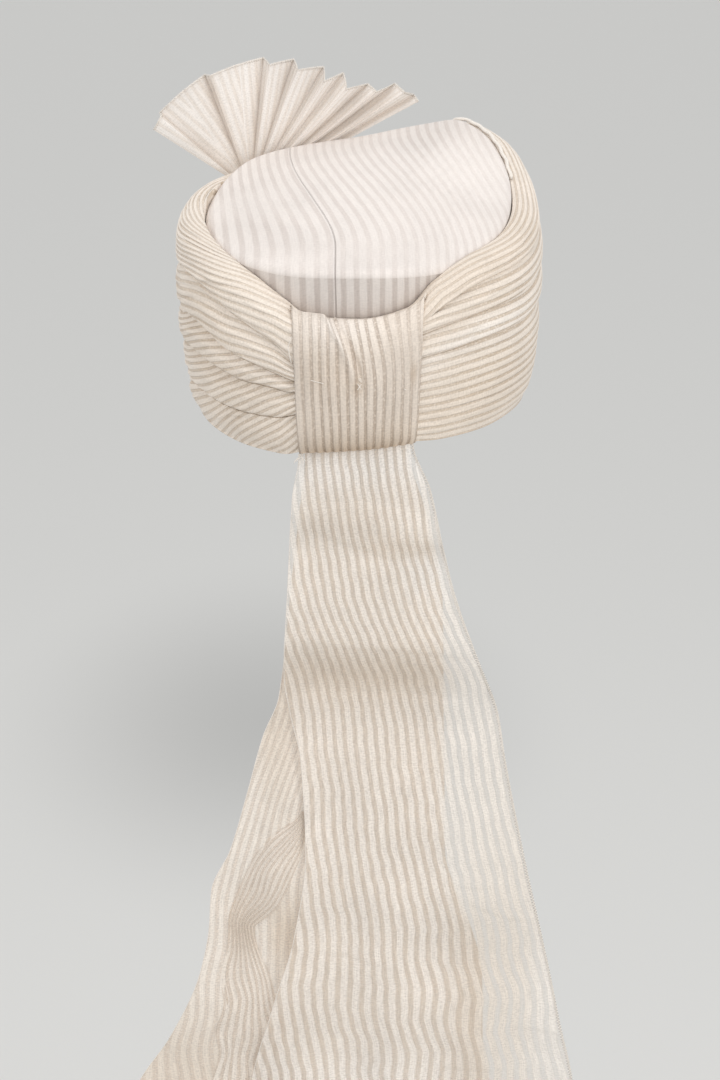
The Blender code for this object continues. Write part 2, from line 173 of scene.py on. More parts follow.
# Small folds that stand out from a surface: how far, over what width, and the line they follow.
# The raised side is on the left of the line. Band folds give turns and rises, the others metres.
Fold = namedtuple("Fold", "height width line")
BAND_FOLD_BLEND = 0.0007
TAIL_FOLD_BLEND = 0.0022
BAND_FOLDS = table(
    Fold,
    (0.0012, 0.0045, ((-87, 0.705), (-81, 0.731), (-69, 0.803))),
    (0.0013, 0.005, ((-87, 0.66), (-61, 0.8), (-49, 0.8))),
    (0.0014, 0.004, ((-61, 0.841), (-53, 0.894), (-45, 0.935))),
    (0.0012, 0.004, ((-87, 0.378), (-71, 0.483), (-60, 0.533))),
    (0.0014, 0.004, ((-40, 0.406), (-32, 0.427), (-22, 0.467))),
    (0.0016, 0.0045, ((-56, 0.079), (-48, 0.155), (-38, 0.202))),
    (0.0009, 0.005, ((27, 0.566), (43, 0.495), (60, 0.488), (78, 0.48))),
    (0.0007, 0.0045, ((26, 0.84), (50, 0.8), (84, 0.815))),
    (0.0007, 0.004, ((26, 0.96), (60, 0.94), (92, 0.95))),
    (0.0009, 0.006, ((-130, 0.3), (-110, 0.33), (-84, 0.29))),
    (0.001, 0.005, ((96, 0.28), (120, 0.33), (150, 0.31))),
    (0.001, 0.005, ((150, 0.56), (176, 0.5), (179, 0.5))),
)

# Soft spots of painted light and shade, where a cloth is drawn lighter or darker, and spots where its
# stripes are fainter
Spot = namedtuple("Spot", "first second wide high level")
CROWN_PLAIN = 0.34
# On the crown the faint spots stand partly for light: the stripes are drawn fainter where a highlight
# washes over the top, and crisper at the front right where the cloth turns away from the top light.
CROWN_FAINT = table(
    Spot,
    (-0.055, 0.03, 0.05, 0.06, 0.25), (0.01, 0.085, 0.06, 0.022, 0.34),
    (-0.062, -0.082, 0.036, 0.036, -0.32), (0.07, 0.0, 0.025, 0.07, -0.15),
)
# Painted shade on the crown's top, darkest at the front right where the cloth turns away from the top
# light.
CROWN_PAINTED_SHADE = table(
    Spot,
    (-0.062, -0.082, 0.036, 0.036, -0.13), (0.06, 0.02, 0.03, 0.05, -0.05),
)
# Painted shade: the crown's wall is drawn darker than its top, as the top light misses it.
CROWN_WALL_SHADE = 0.88
BAND_FAINT = table(
    Spot,
    (-55, 0.85, 42, 0.2, 0.42), (45, 0.97, 35, 0.1, 0.55), (26, 0.7, 14, 0.25, 0.35),
)
# Painted light and shade on the bands: patches of their colour drawn lighter or darker.
BAND_PAINTED_SHADE = table(
    Spot,
    (50, 0.97, 40, 0.1, -0.08), (42, 0.61, 26, 0.075, 0.08), (42, 0.76, 26, 0.05, -0.03),
    (-60, 0.4, 34, 0.08, -0.05), (50, 0.2, 50, 0.28, -0.07), (-55, 0.12, 45, 0.3, -0.05),
    (-70, 0.62, 30, 0.12, -0.05),
)
LOOP_PLAIN = 0.18
LOOP_FAINT = table(
    Spot,
    (0.3, 0.16, 0.26, 0.17, 0.45), (-0.36, 0.34, 0.16, 0.26, 0.5), (0.42, 0.55, 0.08, 0.3, 0.25),
)
# Painted light and shade on the loop: lighter near its top, which faces the top light, and much darker low
# down, where it tucks under the lowest band.
LOOP_PAINTED_SHADE = table(
    Spot,
    (0.15, 0.22, 0.28, 0.12, 0.06), (0.0, 0.55, 0.6, 0.16, -0.03), (0.0, 0.86, 0.6, 0.17, -0.36),
    (0.22, 0.42, 0.25, 0.1, -0.06),
)
TAIL_FAINT = table(
    Spot,
    (-0.01, 0.97, 0.08, 0.14, 0.42), (-0.01, 0.45, 0.08, 0.07, 0.45),
    (-0.01, 0.24, 0.08, 0.05, 0.28), (-0.004, 0.04, 0.06, 0.05, 0.35),
)
# Painted light and shade on the outer panel: lighter just under the loop, where the loop's overhang shades
# it, and darker where the cloth folds and turns downwards.
OUTER_PAINTED_SHADE = table(
    Spot,
    (-0.003, 0.33, 0.05, 0.045, -0.13), (0.0, 0.025, 0.06, 0.028, 0.08),
    (0.012, 0.1, 0.03, 0.03, -0.04), (-0.025, 0.135, 0.026, 0.016, -0.07),
    (-0.043, 0.17, 0.018, 0.04, 0.05), (-0.08, 0.8, 0.024, 0.25, -0.11),
    (0.0, 0.96, 0.06, 0.06, 0.05),
)
# Painted shade on the inner panel, darkest in the recessed opening beside the gathered fold.
INNER_PAINTED_SHADE = table(
    Spot,
    (0.0445, 0.728, 0.01, 0.06, -0.16), (0.085, 0.96, 0.06, 0.1, -0.1),
    (0.05, 0.42, 0.01, 0.12, -0.08),
)

TailRow = namedtuple("TailRow", "drop left right bow")
OUTER_PANEL = table(
    TailRow,
    (0.0, 0.183, 0.155, 0.0), (0.06, 0.203, 0.207, 0.0), (0.2, 0.219, 0.278, -0.1),
    (0.33, 0.232, 0.372, -0.38), (0.4, 0.212, 0.417, -0.45), (0.46, 0.183, 0.437, -0.15),
    (0.6, 0.168, 0.495, 0.35), (0.73, 0.205, 0.555, 0.65), (0.84, 0.272, 0.603, 0.85),
    (1.0, 0.345, 0.662, 1.0),
)
INNER_PANEL = table(
    TailRow,
    (0.0, 0.148, 0.12, 0.0), (0.1, 0.168, 0.18, -0.05), (0.22, 0.193, 0.219, -0.15),
    (0.37, 0.224, 0.224, -0.4), (0.43, 0.268, 0.226, -0.4), (0.51, 0.31, 0.228, -0.05),
    (0.6, 0.36, 0.23, 0.25), (0.66, 0.412, 0.262, 0.4), (0.72, 0.42, 0.305, 0.5),
    (0.79, 0.447, 0.335, 0.6), (0.9, 0.537, 0.338, 0.75), (1.0, 0.64, 0.368, 0.85),
)

# Fan creases from the wearer's left over to the right: the angle above level, the reach as a
# share of FAN_RADIUS, and how far the crease stands out as a share of FAN_PLEAT
FanCrease = namedtuple("FanCrease", "angle reach pleat")
FAN_CREASES = table(
    FanCrease,
    (35, 0.627, 0.2), (42, 0.645, 0.8), (43, 0.646, -0.5), (56, 0.652, -0.2), (70, 0.664, -0.9),
    (71, 0.668, 0.9), (85, 0.68, 0.3), (97, 0.7, -1.0), (98, 0.68, 1.0), (110, 0.722, -1.0),
    (111, 0.684, 1.0), (123, 0.75, -1.0), (124, 0.69, 1.0), (131, 0.785, -1.0), (134, 0.73, 1.0),
    (141, 0.835, -1.0), (143, 0.835, 1.0), (147, 0.95, -1.0), (149, 0.955, 1.0), (153, 1.005, -0.6),
    (155, 1.005, 0.0),
)


def curve(rows, column, at, period=None):
    """Read a table's named column between its rows, on a curve that never passes beyond them."""
    keys = np.array([row[0] for row in rows], float)
    values = np.array([getattr(row, column) for row in rows], float)
    at = np.asarray(at, float)
    if period:
        at = keys[0] + np.mod(at - keys[0], period)
        keys = np.concatenate([keys[-2:] - period, keys, keys[:2] + period])
        values = np.concatenate([values[-2:], values, values[:2]])
    at = np.clip(at, keys[0], keys[-1])
    widths = np.diff(keys)
    steps = np.diff(values) / widths
    slopes = np.zeros(len(keys))
    product = steps[:-1] * steps[1:]
    total = np.where(product > 0, steps[:-1] + steps[1:], 1.0)
    slopes[1:-1] = np.where(product > 0, 2 * product / total, 0.0)
    index = np.clip(np.searchsorted(keys, at, side="right") - 1, 0, len(widths) - 1)
    width = widths[index]
    share = (at - keys[index]) / width
    rest = 1 - share
    return (values[index] * rest * rest * (1 + 2 * share)
            + values[index + 1] * share * share * (3 - 2 * share)
            + slopes[index] * width * share * rest * rest
            - slopes[index + 1] * width * share * share * rest)


def ease(value, start, end):
    """Smooth step from 0 at start to 1 at end."""
    share = np.clip((value - start) / (end - start), 0, 1)
    return share * share * (3 - 2 * share)


def bell(value, width):
    """1 where the value is 0, falling smoothly to 0 beyond the width."""
    return np.exp(-(value / width) ** 2)


def drift(x, y, seed):
    """Smooth irregular waves between about -1 and 1, the same on every run.

    The seed gives each of the five waves its direction and its start.
    """
    total = np.zeros(np.broadcast(x, y).shape)
    for step in range(5):
        angle = seed * 1.7 + step * 2.4
        rate = 1.0 + 0.63 * step
        wave = rate * (x * math.cos(angle) + y * math.sin(angle))
        total = total + np.sin(wave + seed * 3.1 + step * 5.3) / rate
    return total / 2.2


def folded(first, second, folds, blend):
    """How far small folds stand out at places given by two coordinates in metres."""
    first, second = np.broadcast_arrays(first, second)
    total = np.zeros(first.shape)
    for fold in folds:
        nearest = np.full(first.shape, 1e9)
        side = np.ones(first.shape)
        place = np.zeros(first.shape)
        pieces = len(fold.line) - 1
        for index in range(pieces):
            (first_start, second_start), (first_end, second_end) = fold.line[index:index + 2]
            run = first_end - first_start
            climb = second_end - second_start
            reached = (first - first_start) * run + (second - second_start) * climb
            held = np.clip(reached / (run * run + climb * climb), 0, 1)
            aside = first - first_start - held * run
            above = second - second_start - held * climb
            distance = np.hypot(aside, above)
            closer = distance < nearest
            nearest = np.where(closer, distance, nearest)
            side = np.where(closer, np.sign(run * above - climb * aside), side)
            place = np.where(closer, (index + held) / pieces, place)
        taper = np.sqrt(np.sin(math.pi * np.clip(place, 0, 1)))
        fade = np.exp(-nearest / np.where(side > 0, fold.width, 0.4 * fold.width))
        step = 0.25 + 0.75 * np.tanh(side * nearest / blend)
        total = total + fold.height * taper * fade * step
    return total


def spotted(first, second, spots):
    """Sum of soft spots at places given by two coordinates."""
    total = np.zeros(np.broadcast(first, second).shape)
    for spot in spots:
        aside = ((first - spot.first) / spot.wide) ** 2
        above = ((second - spot.second) / spot.high) ** 2
        total = total + spot.level * np.exp(-aside * aside - above)
    return total


def left_share(turn):
    """1 at the wearer's left, 0 at the right."""
    return 0.5 - 0.5 * np.sin(np.radians(turn))


def stack(x, y, z):
    return np.stack(np.broadcast_arrays(x, y, z), axis=-1)


def cap_middle(height):
    return CAP_LEAN * height / CROWN_HEIGHT


def cap_point(turn, height, outset):
    """Points on the cap's outer wall at a turn and height, moved out from the wall by outset."""
    flare = CAP_FLARE * height / CROWN_HEIGHT
    half_width = HEAD_WIDTH / 2 + CAP_WALL + flare + outset
    half_length = HEAD_LENGTH / 2 + CAP_WALL + flare + outset
    angle = np.radians(turn)
    return stack(cap_middle(height) - half_width * np.sin(angle), half_length * np.cos(angle), height)


def turn_at_side(x, outset):
    half_width = HEAD_WIDTH / 2 + CAP_WALL + outset
    return -np.degrees(np.arcsin(np.clip(x / half_width, -1, 1)))


def crown_edge(turn):
    return CROWN_HEIGHT * curve(CROWN_SECTIONS, "edge", turn, 360)


def wrap_low(turn):
    return WRAP_HEIGHT * curve(WRAP_SECTIONS, "low", turn, 360)


def wrap_top(turn):
    return WRAP_HEIGHT * curve(WRAP_SECTIONS, "top", turn, 360)


def wrap_depth(rise):
    return WRAP_DEPTH * curve(WRAP_PROFILE, "depth", rise)


def fold_rise(turn, number):
    if number == 0:
        return np.zeros_like(turn)
    if number == BAND_COUNT:
        return np.ones_like(turn)
    return curve(WRAP_SECTIONS, "fold_%d" % number, turn, 360)


def groove_share(turn, number):
    """Depth of a fold's groove as a share of the wrap, deep on the left and faint on the right."""
    if number in (0, BAND_COUNT):
        return np.zeros_like(turn)
    if number == 1:
        return RELIEF_LEFT * left_share(turn) ** 2
    return RELIEF_RIGHT + (RELIEF_LEFT - RELIEF_RIGHT) * left_share(turn)


class Graph:
    """Short ways to add shader nodes to a material."""

    def __init__(self, name):
        self.material = bpy.data.materials.new(name)
        self.material.use_nodes = True
        self.tree = self.material.node_tree
        self.tree.nodes.clear()

    def add(self, kind, **settings):
        node = self.tree.nodes.new(kind)
        for key, value in settings.items():
            setattr(node, key, value)
        return node

    def plug(self, socket, value):
        if isinstance(value, bpy.types.NodeSocket):
            self.tree.links.new(value, socket)
        else:
            socket.default_value = value

    def node(self, kind, sockets, **settings):
        """A node's first output, with its sockets filled, each by a link or a constant."""
        node = self.add(kind, **settings)
        for key, value in sockets.items():
            self.plug(node.inputs[key], value)
        return node.outputs[0] if node.outputs else None

    def math(self, operation, *values):
        node = self.add("ShaderNodeMath", operation=operation)
        for socket, value in zip(node.inputs, values):
            self.plug(socket, value)
        return node.outputs[0]

    def times(self, first, second):
        return self.math("MULTIPLY", first, second)

    def plus(self, first, second):
        return self.math("ADD", first, second)

    def between(self, value, start, end, low=0.0, high=1.0):
        node = self.add("ShaderNodeMapRange", interpolation_type="SMOOTHSTEP")
        for socket, item in zip(node.inputs, (value, start, end, low, high)):
            self.plug(socket, item)
        return node.outputs[0]

    def mix(self, share, first, second, blend="MIX"):
        node = self.add("ShaderNodeMix", data_type="RGBA", blend_type=blend)
        for index, value in ((0, share), (6, first), (7, second)):
            self.plug(node.inputs[index], value)
        return node.outputs[2]

    def shaded(self, colour, shade):
        """A plain colour made lighter or darker by a number."""
        return self.mix(1.0, (*colour, 1.0), self.vector(shade, shade, shade), "MULTIPLY")

    def vector(self, x, y, z=0.0):
        return self.node("ShaderNodeCombineXYZ", {0: x, 1: y, 2: z})

    def place(self):
        return self.add("ShaderNodeTexCoord").outputs["Object"]

    def map_values(self, uv_map):
        """Both numbers of a UV map."""
        parts = self.add("ShaderNodeSeparateXYZ")
        self.plug(parts.inputs[0], self.node("ShaderNodeUVMap", {}, uv_map=uv_map))
        return parts.outputs[0], parts.outputs[1]

    def noise(self, vector, scale, detail=2.0):
        return self.node("ShaderNodeTexNoise", {"Vector": vector, "Scale": scale, "Detail": detail})

    def streaks(self, across, along, rates, detail=1.0):
        """Noise stretched along the cloth, with a rate for each stripe across and metre along."""
        stretched = self.vector(self.times(across, rates[0]), self.times(along, rates[1]))
        return self.noise(stretched, 1.0, detail)

    def finish(self, surface):
        self.node("ShaderNodeOutputMaterial", {"Surface": surface})
        return self.material


# Streaks in the cloth: their rates for each stripe across and for each metre along
WAVER_RATES = (0.4, 40.0)
SLUB_RATES = (3.2, 1100.0)
THREAD_RATES = (14.0, 90.0)
KNOT_RATES = (5.0, 620.0)
STRIPE_WAVER = 0.16
CLOUD_RATE = 26.0
FADE_RATE = 11.0
GRAIN_HEIGHT = 0.00025
SHEER_ROUGHNESS = 0.72
SATIN_ROUGHNESS = 0.46
# The seam under the crown's cloth, with the share of it that the cloth hides in front and at the back
SEAM_COLOUR = (0.46, 0.4, 0.37, 1.0)
SEAM_WIDTH = (0.015, 0.075)
SEAM_HIDDEN = (0.7, 0.12)
SEAM_DEPTH = 0.0006


def cloth_material(name, satin, sheer, satin_alpha=1.0, sheer_alpha=1.0, sheer_share=0.38, soft=0.12,
                   glow=0.0, rib_height=0.0003, seam_at=None, fading=0.0, fade_end=10.0, grain_depth=1.0,
                   slubs=0.45, warmth=(1.35, 1.8)):
    """Organza with raised satin stripes: threads, ribs, slubs and a see-through ground.

    Where the first number of the faintness and painted shade map is high, the stripes are faint. Its second
    number is painted light and shade that scales the colour, warmer where it darkens.
    """
    graph = Graph(name)
    plain, tone = graph.map_values(FAINT_AND_SHADE_MAP)
    stripe, along = graph.map_values(STRIPE_MAP)
    waver = graph.streaks(stripe, along, WAVER_RATES, 2.0)
    across = graph.plus(stripe, graph.times(graph.math("SUBTRACT", waver, 0.5), STRIPE_WAVER))
    centre = graph.math("PINGPONG", across, 0.5)
    mask = graph.between(centre, 0.5 * sheer_share - 0.5 * soft, 0.5 * sheer_share + 0.5 * soft)
    slub = graph.streaks(across, along, SLUB_RATES)
    thread = graph.streaks(across, along, THREAD_RATES)
    grain = graph.plus(graph.times(slub, 0.5), graph.times(thread, 0.5))
    shade = graph.between(grain, 0.28, 0.72, 1.0 - 0.15 * grain_depth, 1.0 + 0.1 * grain_depth)
    place = graph.place()
    shade = graph.times(shade, graph.between(graph.noise(place, CLOUD_RATE), 0.3, 0.7, 0.965, 1.03))
    colour = graph.mix(mask, (*sheer, 1.0), (*satin, 1.0))
    mean = [sheer_share * low + (1 - sheer_share) * high for low, high in zip(sheer, satin)]
    colour = graph.mix(plain, colour, (*mean, 1.0))
    knots = graph.between(graph.streaks(across, along, KNOT_RATES, 0.0), 0.54, 0.66, 0.0, slubs)
    knots = graph.times(knots, graph.math("SUBTRACT", 1.0, mask))
    colour = graph.mix(knots, colour, (*satin, 1.0))
    if fading > 0.0:
        faded = graph.between(graph.noise(place, FADE_RATE, 1.0), 0.42, 0.6, 0.0, fading)
        reach = graph.between(graph.math("ABSOLUTE", along), 0.8 * fade_end, fade_end, 1.0, 0.0)
        colour = graph.mix(graph.times(faded, reach), colour, (*satin, 1.0))
    # Painted light and shade: the colour is scaled by the painted shade factor, and warmth makes it warmer
    # where it darkens.
    tints = [tone] + [graph.math("POWER", tone, power) for power in warmth]
    colour = graph.mix(1.0, colour, graph.vector(*(graph.times(shade, tint) for tint in tints)), "MULTIPLY")
    height = graph.plus(graph.times(mask, rib_height), graph.times(grain, GRAIN_HEIGHT))
    if seam_at is not None:
        distance = graph.math("ABSOLUTE", graph.math("SUBTRACT", stripe, seam_at))
        seam = graph.between(distance, *SEAM_WIDTH)
        hidden = graph.between(along, 0.02, 0.1, *SEAM_HIDDEN)
        colour = graph.mix(graph.math("MAXIMUM", seam, hidden), SEAM_COLOUR, colour)
        height = graph.plus(height, graph.times(seam, SEAM_DEPTH))
    bump = graph.node("ShaderNodeBump", {"Strength": 0.8, "Distance": 1.0, "Height": height})
    roughness = graph.between(mask, 0.0, 1.0, SHEER_ROUGHNESS, SATIN_ROUGHNESS)
    surface = graph.node("ShaderNodeBsdfPrincipled", {
        "Base Color": colour, "Roughness": roughness, "Normal": bump,
        "Specular IOR Level": 0.35, "Sheen Weight": 0.25, "Sheen Roughness": 0.4})
    if glow > 0.0:
        through = graph.node("ShaderNodeBsdfTranslucent", {"Color": colour, "Normal": bump})
        surface = graph.node("ShaderNodeMixShader", {0: glow, 1: surface, 2: through})
    if sheer_alpha < 1.0:
        cover = graph.between(mask, 0.0, 1.0, sheer_alpha, satin_alpha)
        cover = graph.times(cover, graph.between(grain, 0.3, 0.6, 0.86, 1.0))
        clear = graph.node("ShaderNodeBsdfTransparent", {})
        surface = graph.node("ShaderNodeMixShader", {0: cover, 1: clear, 2: surface})
    return graph.finish(surface)


def thread_material(name, colour):
    """Twisted sewing thread."""
    graph = Graph(name)
    grain = graph.noise(graph.place(), 2200.0)
    colour = graph.shaded(colour, graph.between(grain, 0.3, 0.7, 0.8, 1.05))
    bump = graph.node("ShaderNodeBump", {"Distance": 0.0001, "Height": grain})
    return graph.finish(graph.node("ShaderNodeBsdfPrincipled", {
        "Base Color": colour, "Roughness": 0.6, "Sheen Weight": 0.3, "Normal": bump}))


def floor_material(name, colour):
    """Matt paper, with a painted shadow that makes it a little darker behind the tail."""
    graph = Graph(name)
    sockets = {"Vector": graph.place(), "Location": FLOOR_SHADE_PLACE, "Scale": FLOOR_SHADE_SIZE}
    moved = graph.node("ShaderNodeMapping", sockets, vector_type="TEXTURE")
    away = graph.add("ShaderNodeVectorMath", operation="LENGTH")
    graph.plug(away.inputs[0], moved)
    colour = graph.shaded(colour, graph.between(away.outputs["Value"], 0.0, 1.0, FLOOR_SHADE, 1.0))
    return graph.finish(graph.node("ShaderNodeBsdfPrincipled", {
        "Base Color": colour, "Roughness": 0.9, "Specular IOR Level": 0.1}))


# Points of a cloth, with the stripe number, the metres along, the faintness of the stripes and the
# painted light and shade that scales the colour at each
Grid = namedtuple("Grid", "points stripes along plain tone")


def cloth_grid(points, stripes, along, plain=0.0, tone=1.0):
    shape = points.shape[:2]
    return Grid(points, *(np.broadcast_to(item, shape) for item in (stripes, along, plain, tone)))


def place_mesh(name, vertices, faces, material):
    mesh = bpy.data.meshes.new(name)
    mesh.from_pydata(vertices, [], faces)
    mesh.shade_smooth()
    mesh.materials.append(material)
    obj = bpy.data.objects.new(name, mesh)
    bpy.context.scene.collection.objects.link(obj)
    return obj


def cloth_object(name, grids, material, wrap_rows=False, wrap_columns=False):
    """One mesh over several grids. A wrapped direction joins its last row or column to its first."""
    vertices = []
    faces = []
    maps = {STRIPE_MAP: [], FAINT_AND_SHADE_MAP: []}
    start = 0
    for grid in grids:
        rows, columns = grid.points.shape[:2]
        kept_rows = rows - 1 if wrap_rows else rows
        kept_columns = columns - 1 if wrap_columns else columns
        vertices.append(grid.points[:kept_rows, :kept_columns].reshape(-1, 3))
        row, column = np.meshgrid(np.arange(rows - 1), np.arange(columns - 1), indexing="ij")
        corners = [(row, column), (row, column + 1), (row + 1, column + 1), (row + 1, column)]
        face = np.stack([(r % kept_rows) * kept_columns + (c % kept_columns) for r, c in corners], -1)
        faces.append(start + face.reshape(-1, 4))
        values = {STRIPE_MAP: (grid.stripes, grid.along), FAINT_AND_SHADE_MAP: (grid.plain, grid.tone)}
        for layer_name, (first, second) in values.items():
            pairs = [np.stack([first[r, c], second[r, c]], -1) for r, c in corners]
            maps[layer_name].append(np.stack(pairs, -2).reshape(-1))
        start += kept_rows * kept_columns
    obj = place_mesh(name, np.concatenate(vertices).tolist(), np.concatenate(faces).tolist(), material)
    for layer_name, kept in maps.items():
        layer = obj.data.uv_layers.new(name=layer_name)
        layer.data.foreach_set("uv", np.concatenate(kept).astype(np.float32))
    return obj


def thicken(obj, thickness, offset):
    cloth = obj.modifiers.new("cloth", "SOLIDIFY")
    cloth.thickness = thickness
    cloth.offset = offset
    cloth.use_rim = True


def unit(vectors):
    return vectors / (np.linalg.norm(vectors, axis=1)[:, None] + 1e-12)


def thread_object(name, paths, radius, material, sides):
    """Fine threads as one mesh: a tube along each path of points."""
    vertices = []
    faces = []
    for path in paths:
        path = np.asarray(path, float)
        start = len(vertices)
        ahead = unit(np.gradient(path, axis=0))
        side = unit(np.cross(ahead, THREAD_UP))
        up = np.cross(side, ahead)
        for index, point in enumerate(path):
            for step in range(sides):
                angle = math.tau * step / sides
                reach = side[index] * math.cos(angle) + up[index] * math.sin(angle)
                vertices.append(point + radius * reach)
        for index in range(len(path) - 1):
            for step in range(sides):
                after = (step + 1) % sides
                low = start + index * sides
                faces.append((low + step, low + after, low + sides + after, low + sides + step))
        last = start + (len(path) - 1) * sides
        faces.append(tuple(start + step for step in reversed(range(sides))))
        faces.append(tuple(last + step for step in range(sides)))
    return place_mesh(name, [tuple(point) for point in vertices], faces, material)


def dress(obj, slot, *nodes):
    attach(obj, BODY)
    if nodes:
        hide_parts(*nodes)
    return obj


# Crown cloth

CROWN_LEAN = 0.028
CrownLean = namedtuple("CrownLean", "side lean")
CROWN_LEANS = table(
    CrownLean,
    (-1.0, 1.3), (-0.45, 1.36), (0.2, 1.0), (0.78, 0.4), (1.0, 0.2),
)
CROWN_PERIOD = 0.0057
CROWN_WAVE = 0.0004
# Small creases where the crown's cloth is pulled, at the wearer's right
CREASE_PLACE = (-0.05, -0.012)
CREASE_REACH = (0.024, 0.045)
CREASE_HEIGHT = 0.0006
CREASE_RATE = 800
# A painted shadow on the crown's wall just above the wrap: how dark it is and how far up it reaches.
WRAP_SHADOW = 0.26
WRAP_SHADOW_REACH = 0.0026


def crown_stripe(x, y):
    """Stripes run fore and aft over the crown and lean towards the wearer's left at the front."""
    side = x / (HEAD_WIDTH / 2 + CAP_FLARE)
    way = (y / (HEAD_LENGTH / 2 + CAP_FLARE) + 1) / 2
    return (x + CROWN_LEAN * curve(CROWN_LEANS, "lean", side) * ease(way, 0.1, 0.85)) / CROWN_PERIOD


def stretched_height(turn, radius_share):
    """Height of cloth stretched inside the crown's rim, which follows it as a soap film would."""
    rim = crown_edge(np.arange(360))
    waves = np.fft.rfft(rim) / len(rim)
    angle = np.radians(turn)
    height = waves[0].real + 0 * angle * radius_share
    for order in range(1, 25):
        wave = 2 * (waves[order].real * np.cos(order * angle) - waves[order].imag * np.sin(order * angle))
        height = height + wave * radius_share ** order
    return height


def crown_relief(x, y, radius_share):
    """Gentle waves over the whole crown, and small creases where its cloth is pulled."""
    waves = CROWN_WAVE * drift(x * 60, y * 60, 1.0) * (1 - radius_share ** 6)
    aside = ((x - CREASE_PLACE[0]) / CREASE_REACH[0]) ** 2
    ahead = ((y - CREASE_PLACE[1]) / CREASE_REACH[1]) ** 2
    pulled = np.exp(-(aside + ahead)) * (1 - radius_share ** 8)
    uneven = 0.6 + 0.5 * drift(x * 55, y * 55, 13.0)
    lines = np.sin((0.8 * x - 0.6 * y) * CREASE_RATE + 4 * drift(x * 40, y * 40, 2.0))
    return waves + CREASE_HEIGHT * pulled * uneven * lines


def make_crown(material):
    """The stretched cloth over the cap's top, its soft edge and its wall."""
    top_rings = 48
    edge_rings = 9
    wall_rings = 48
    stations = 256
    turn = np.linspace(-180, 180, stations + 1)[None, :]
    edge = crown_edge(turn)
    bend = math.pi / 2 * np.arange(1, edge_rings + 1) / edge_rings
    share_flat = 1 - CROWN_EDGE_ROUND / (HEAD_WIDTH / 2)
    flat_shares = share_flat * (np.arange(1, top_rings + 1) / top_rings) ** 0.85
    radius_share = np.concatenate([flat_shares, share_flat + (1 - share_flat) * np.sin(bend)])[:, None]
    fall = np.concatenate([np.zeros(top_rings), CROWN_EDGE_ROUND * (1 - np.cos(bend))])[:, None]
    height = stretched_height(turn, radius_share) + CROWN_DOME * (1 - radius_share ** 2) - fall
    rim = cap_point(turn, edge - CROWN_EDGE_ROUND, 0.0)
    x = cap_middle(height) + (rim[..., 0] - cap_middle(rim[..., 2])) * radius_share
    y = rim[..., 1] * radius_share
    x, y, height = np.broadcast_arrays(x, y, height)
    top = stack(x, y, height + crown_relief(x, y, radius_share))
    way = ((np.arange(1, wall_rings + 1) / wall_rings) ** 1.6)[:, None]
    high = edge - CROWN_EDGE_ROUND
    low = wrap_low(turn) + CAP_HEM_TUCK
    wall_height = high + (low - high) * way
    points = np.concatenate([top, cap_point(turn, wall_height, 0.0)])
    edge_x = np.broadcast_to(rim[..., 0], wall_height.shape)
    edge_y = np.broadcast_to(rim[..., 1], wall_height.shape)
    stripes = np.concatenate([crown_stripe(x, y), crown_stripe(edge_x, edge_y)])
    along = np.concatenate([y, edge_y + np.sign(edge_y + 1e-9) * (high - wall_height)])
    plain = np.clip(CROWN_PLAIN + spotted(x, y, CROWN_FAINT), 0, 1)
    plain = np.concatenate([plain, np.zeros(wall_height.shape)])
    # Painted shade: the wall is darker than the top, with a painted shadow just above the wrap, and spots
    # of painted shade on the top.
    above_wrap = np.clip((wall_height - wrap_top(turn)) / WRAP_SHADOW_REACH, 0, 9)
    wall_shade = CROWN_WALL_SHADE - WRAP_SHADOW * np.exp(-above_wrap)
    tone = np.concatenate([1 + spotted(x, y, CROWN_PAINTED_SHADE), wall_shade])
    grid = cloth_grid(points, stripes, along, plain, tone)
    crown = cloth_object("crown_cloth", [grid], material, wrap_columns=True)
    close_pole(crown, stations)
    thicken(crown, CROWN_CLOTH, -1.0)
    return dress(crown, "crown_cloth", "crown_cap")


def close_pole(obj, stations):
    """Fill the small hole in the middle of the crown with a fan of triangles."""
    shape = bmesh.new()
    shape.from_mesh(obj.data)
    shape.verts.ensure_lookup_table()
    ring = [shape.verts[index] for index in range(stations)]
    middle = shape.verts.new(sum((v.co for v in ring), ring[0].co * 0) / stations)
    layer = shape.loops.layers.uv[STRIPE_MAP]
    faint_and_shade_layer = shape.loops.layers.uv[FAINT_AND_SHADE_MAP]
    for index in range(stations):
        face = shape.faces.new((ring[index], middle, ring[(index + 1) % stations]))
        face.smooth = True
        for loop in face.loops:
            point = loop.vert.co
            loop[layer].uv = (float(crown_stripe(point.x, point.y)), point.y)
            loop[faint_and_shade_layer].uv = (CROWN_PLAIN, 1.0)
    bmesh.ops.recalc_face_normals(shape, faces=shape.faces)
    shape.to_mesh(obj.data)
    shape.free()


# Wound bands

# A fold's two lips: the gap between them, or how far they overlap where the fold has no groove, and
# the height and share over which the lower edge of a band turns in
FOLD_OVERLAP = 0.0003
GROOVE_START = 0.05
LIP_HEIGHT = 0.0013
LIP_SHARE = 0.75


def fold_gap(groove):
    """Half the gap at a fold. Where it has no groove, the bands' cloth runs on without one."""
    open_share = np.clip(groove / GROOVE_START, 0, 1)
    return FOLD_GAP / 2 * open_share - FOLD_OVERLAP * (1 - open_share)


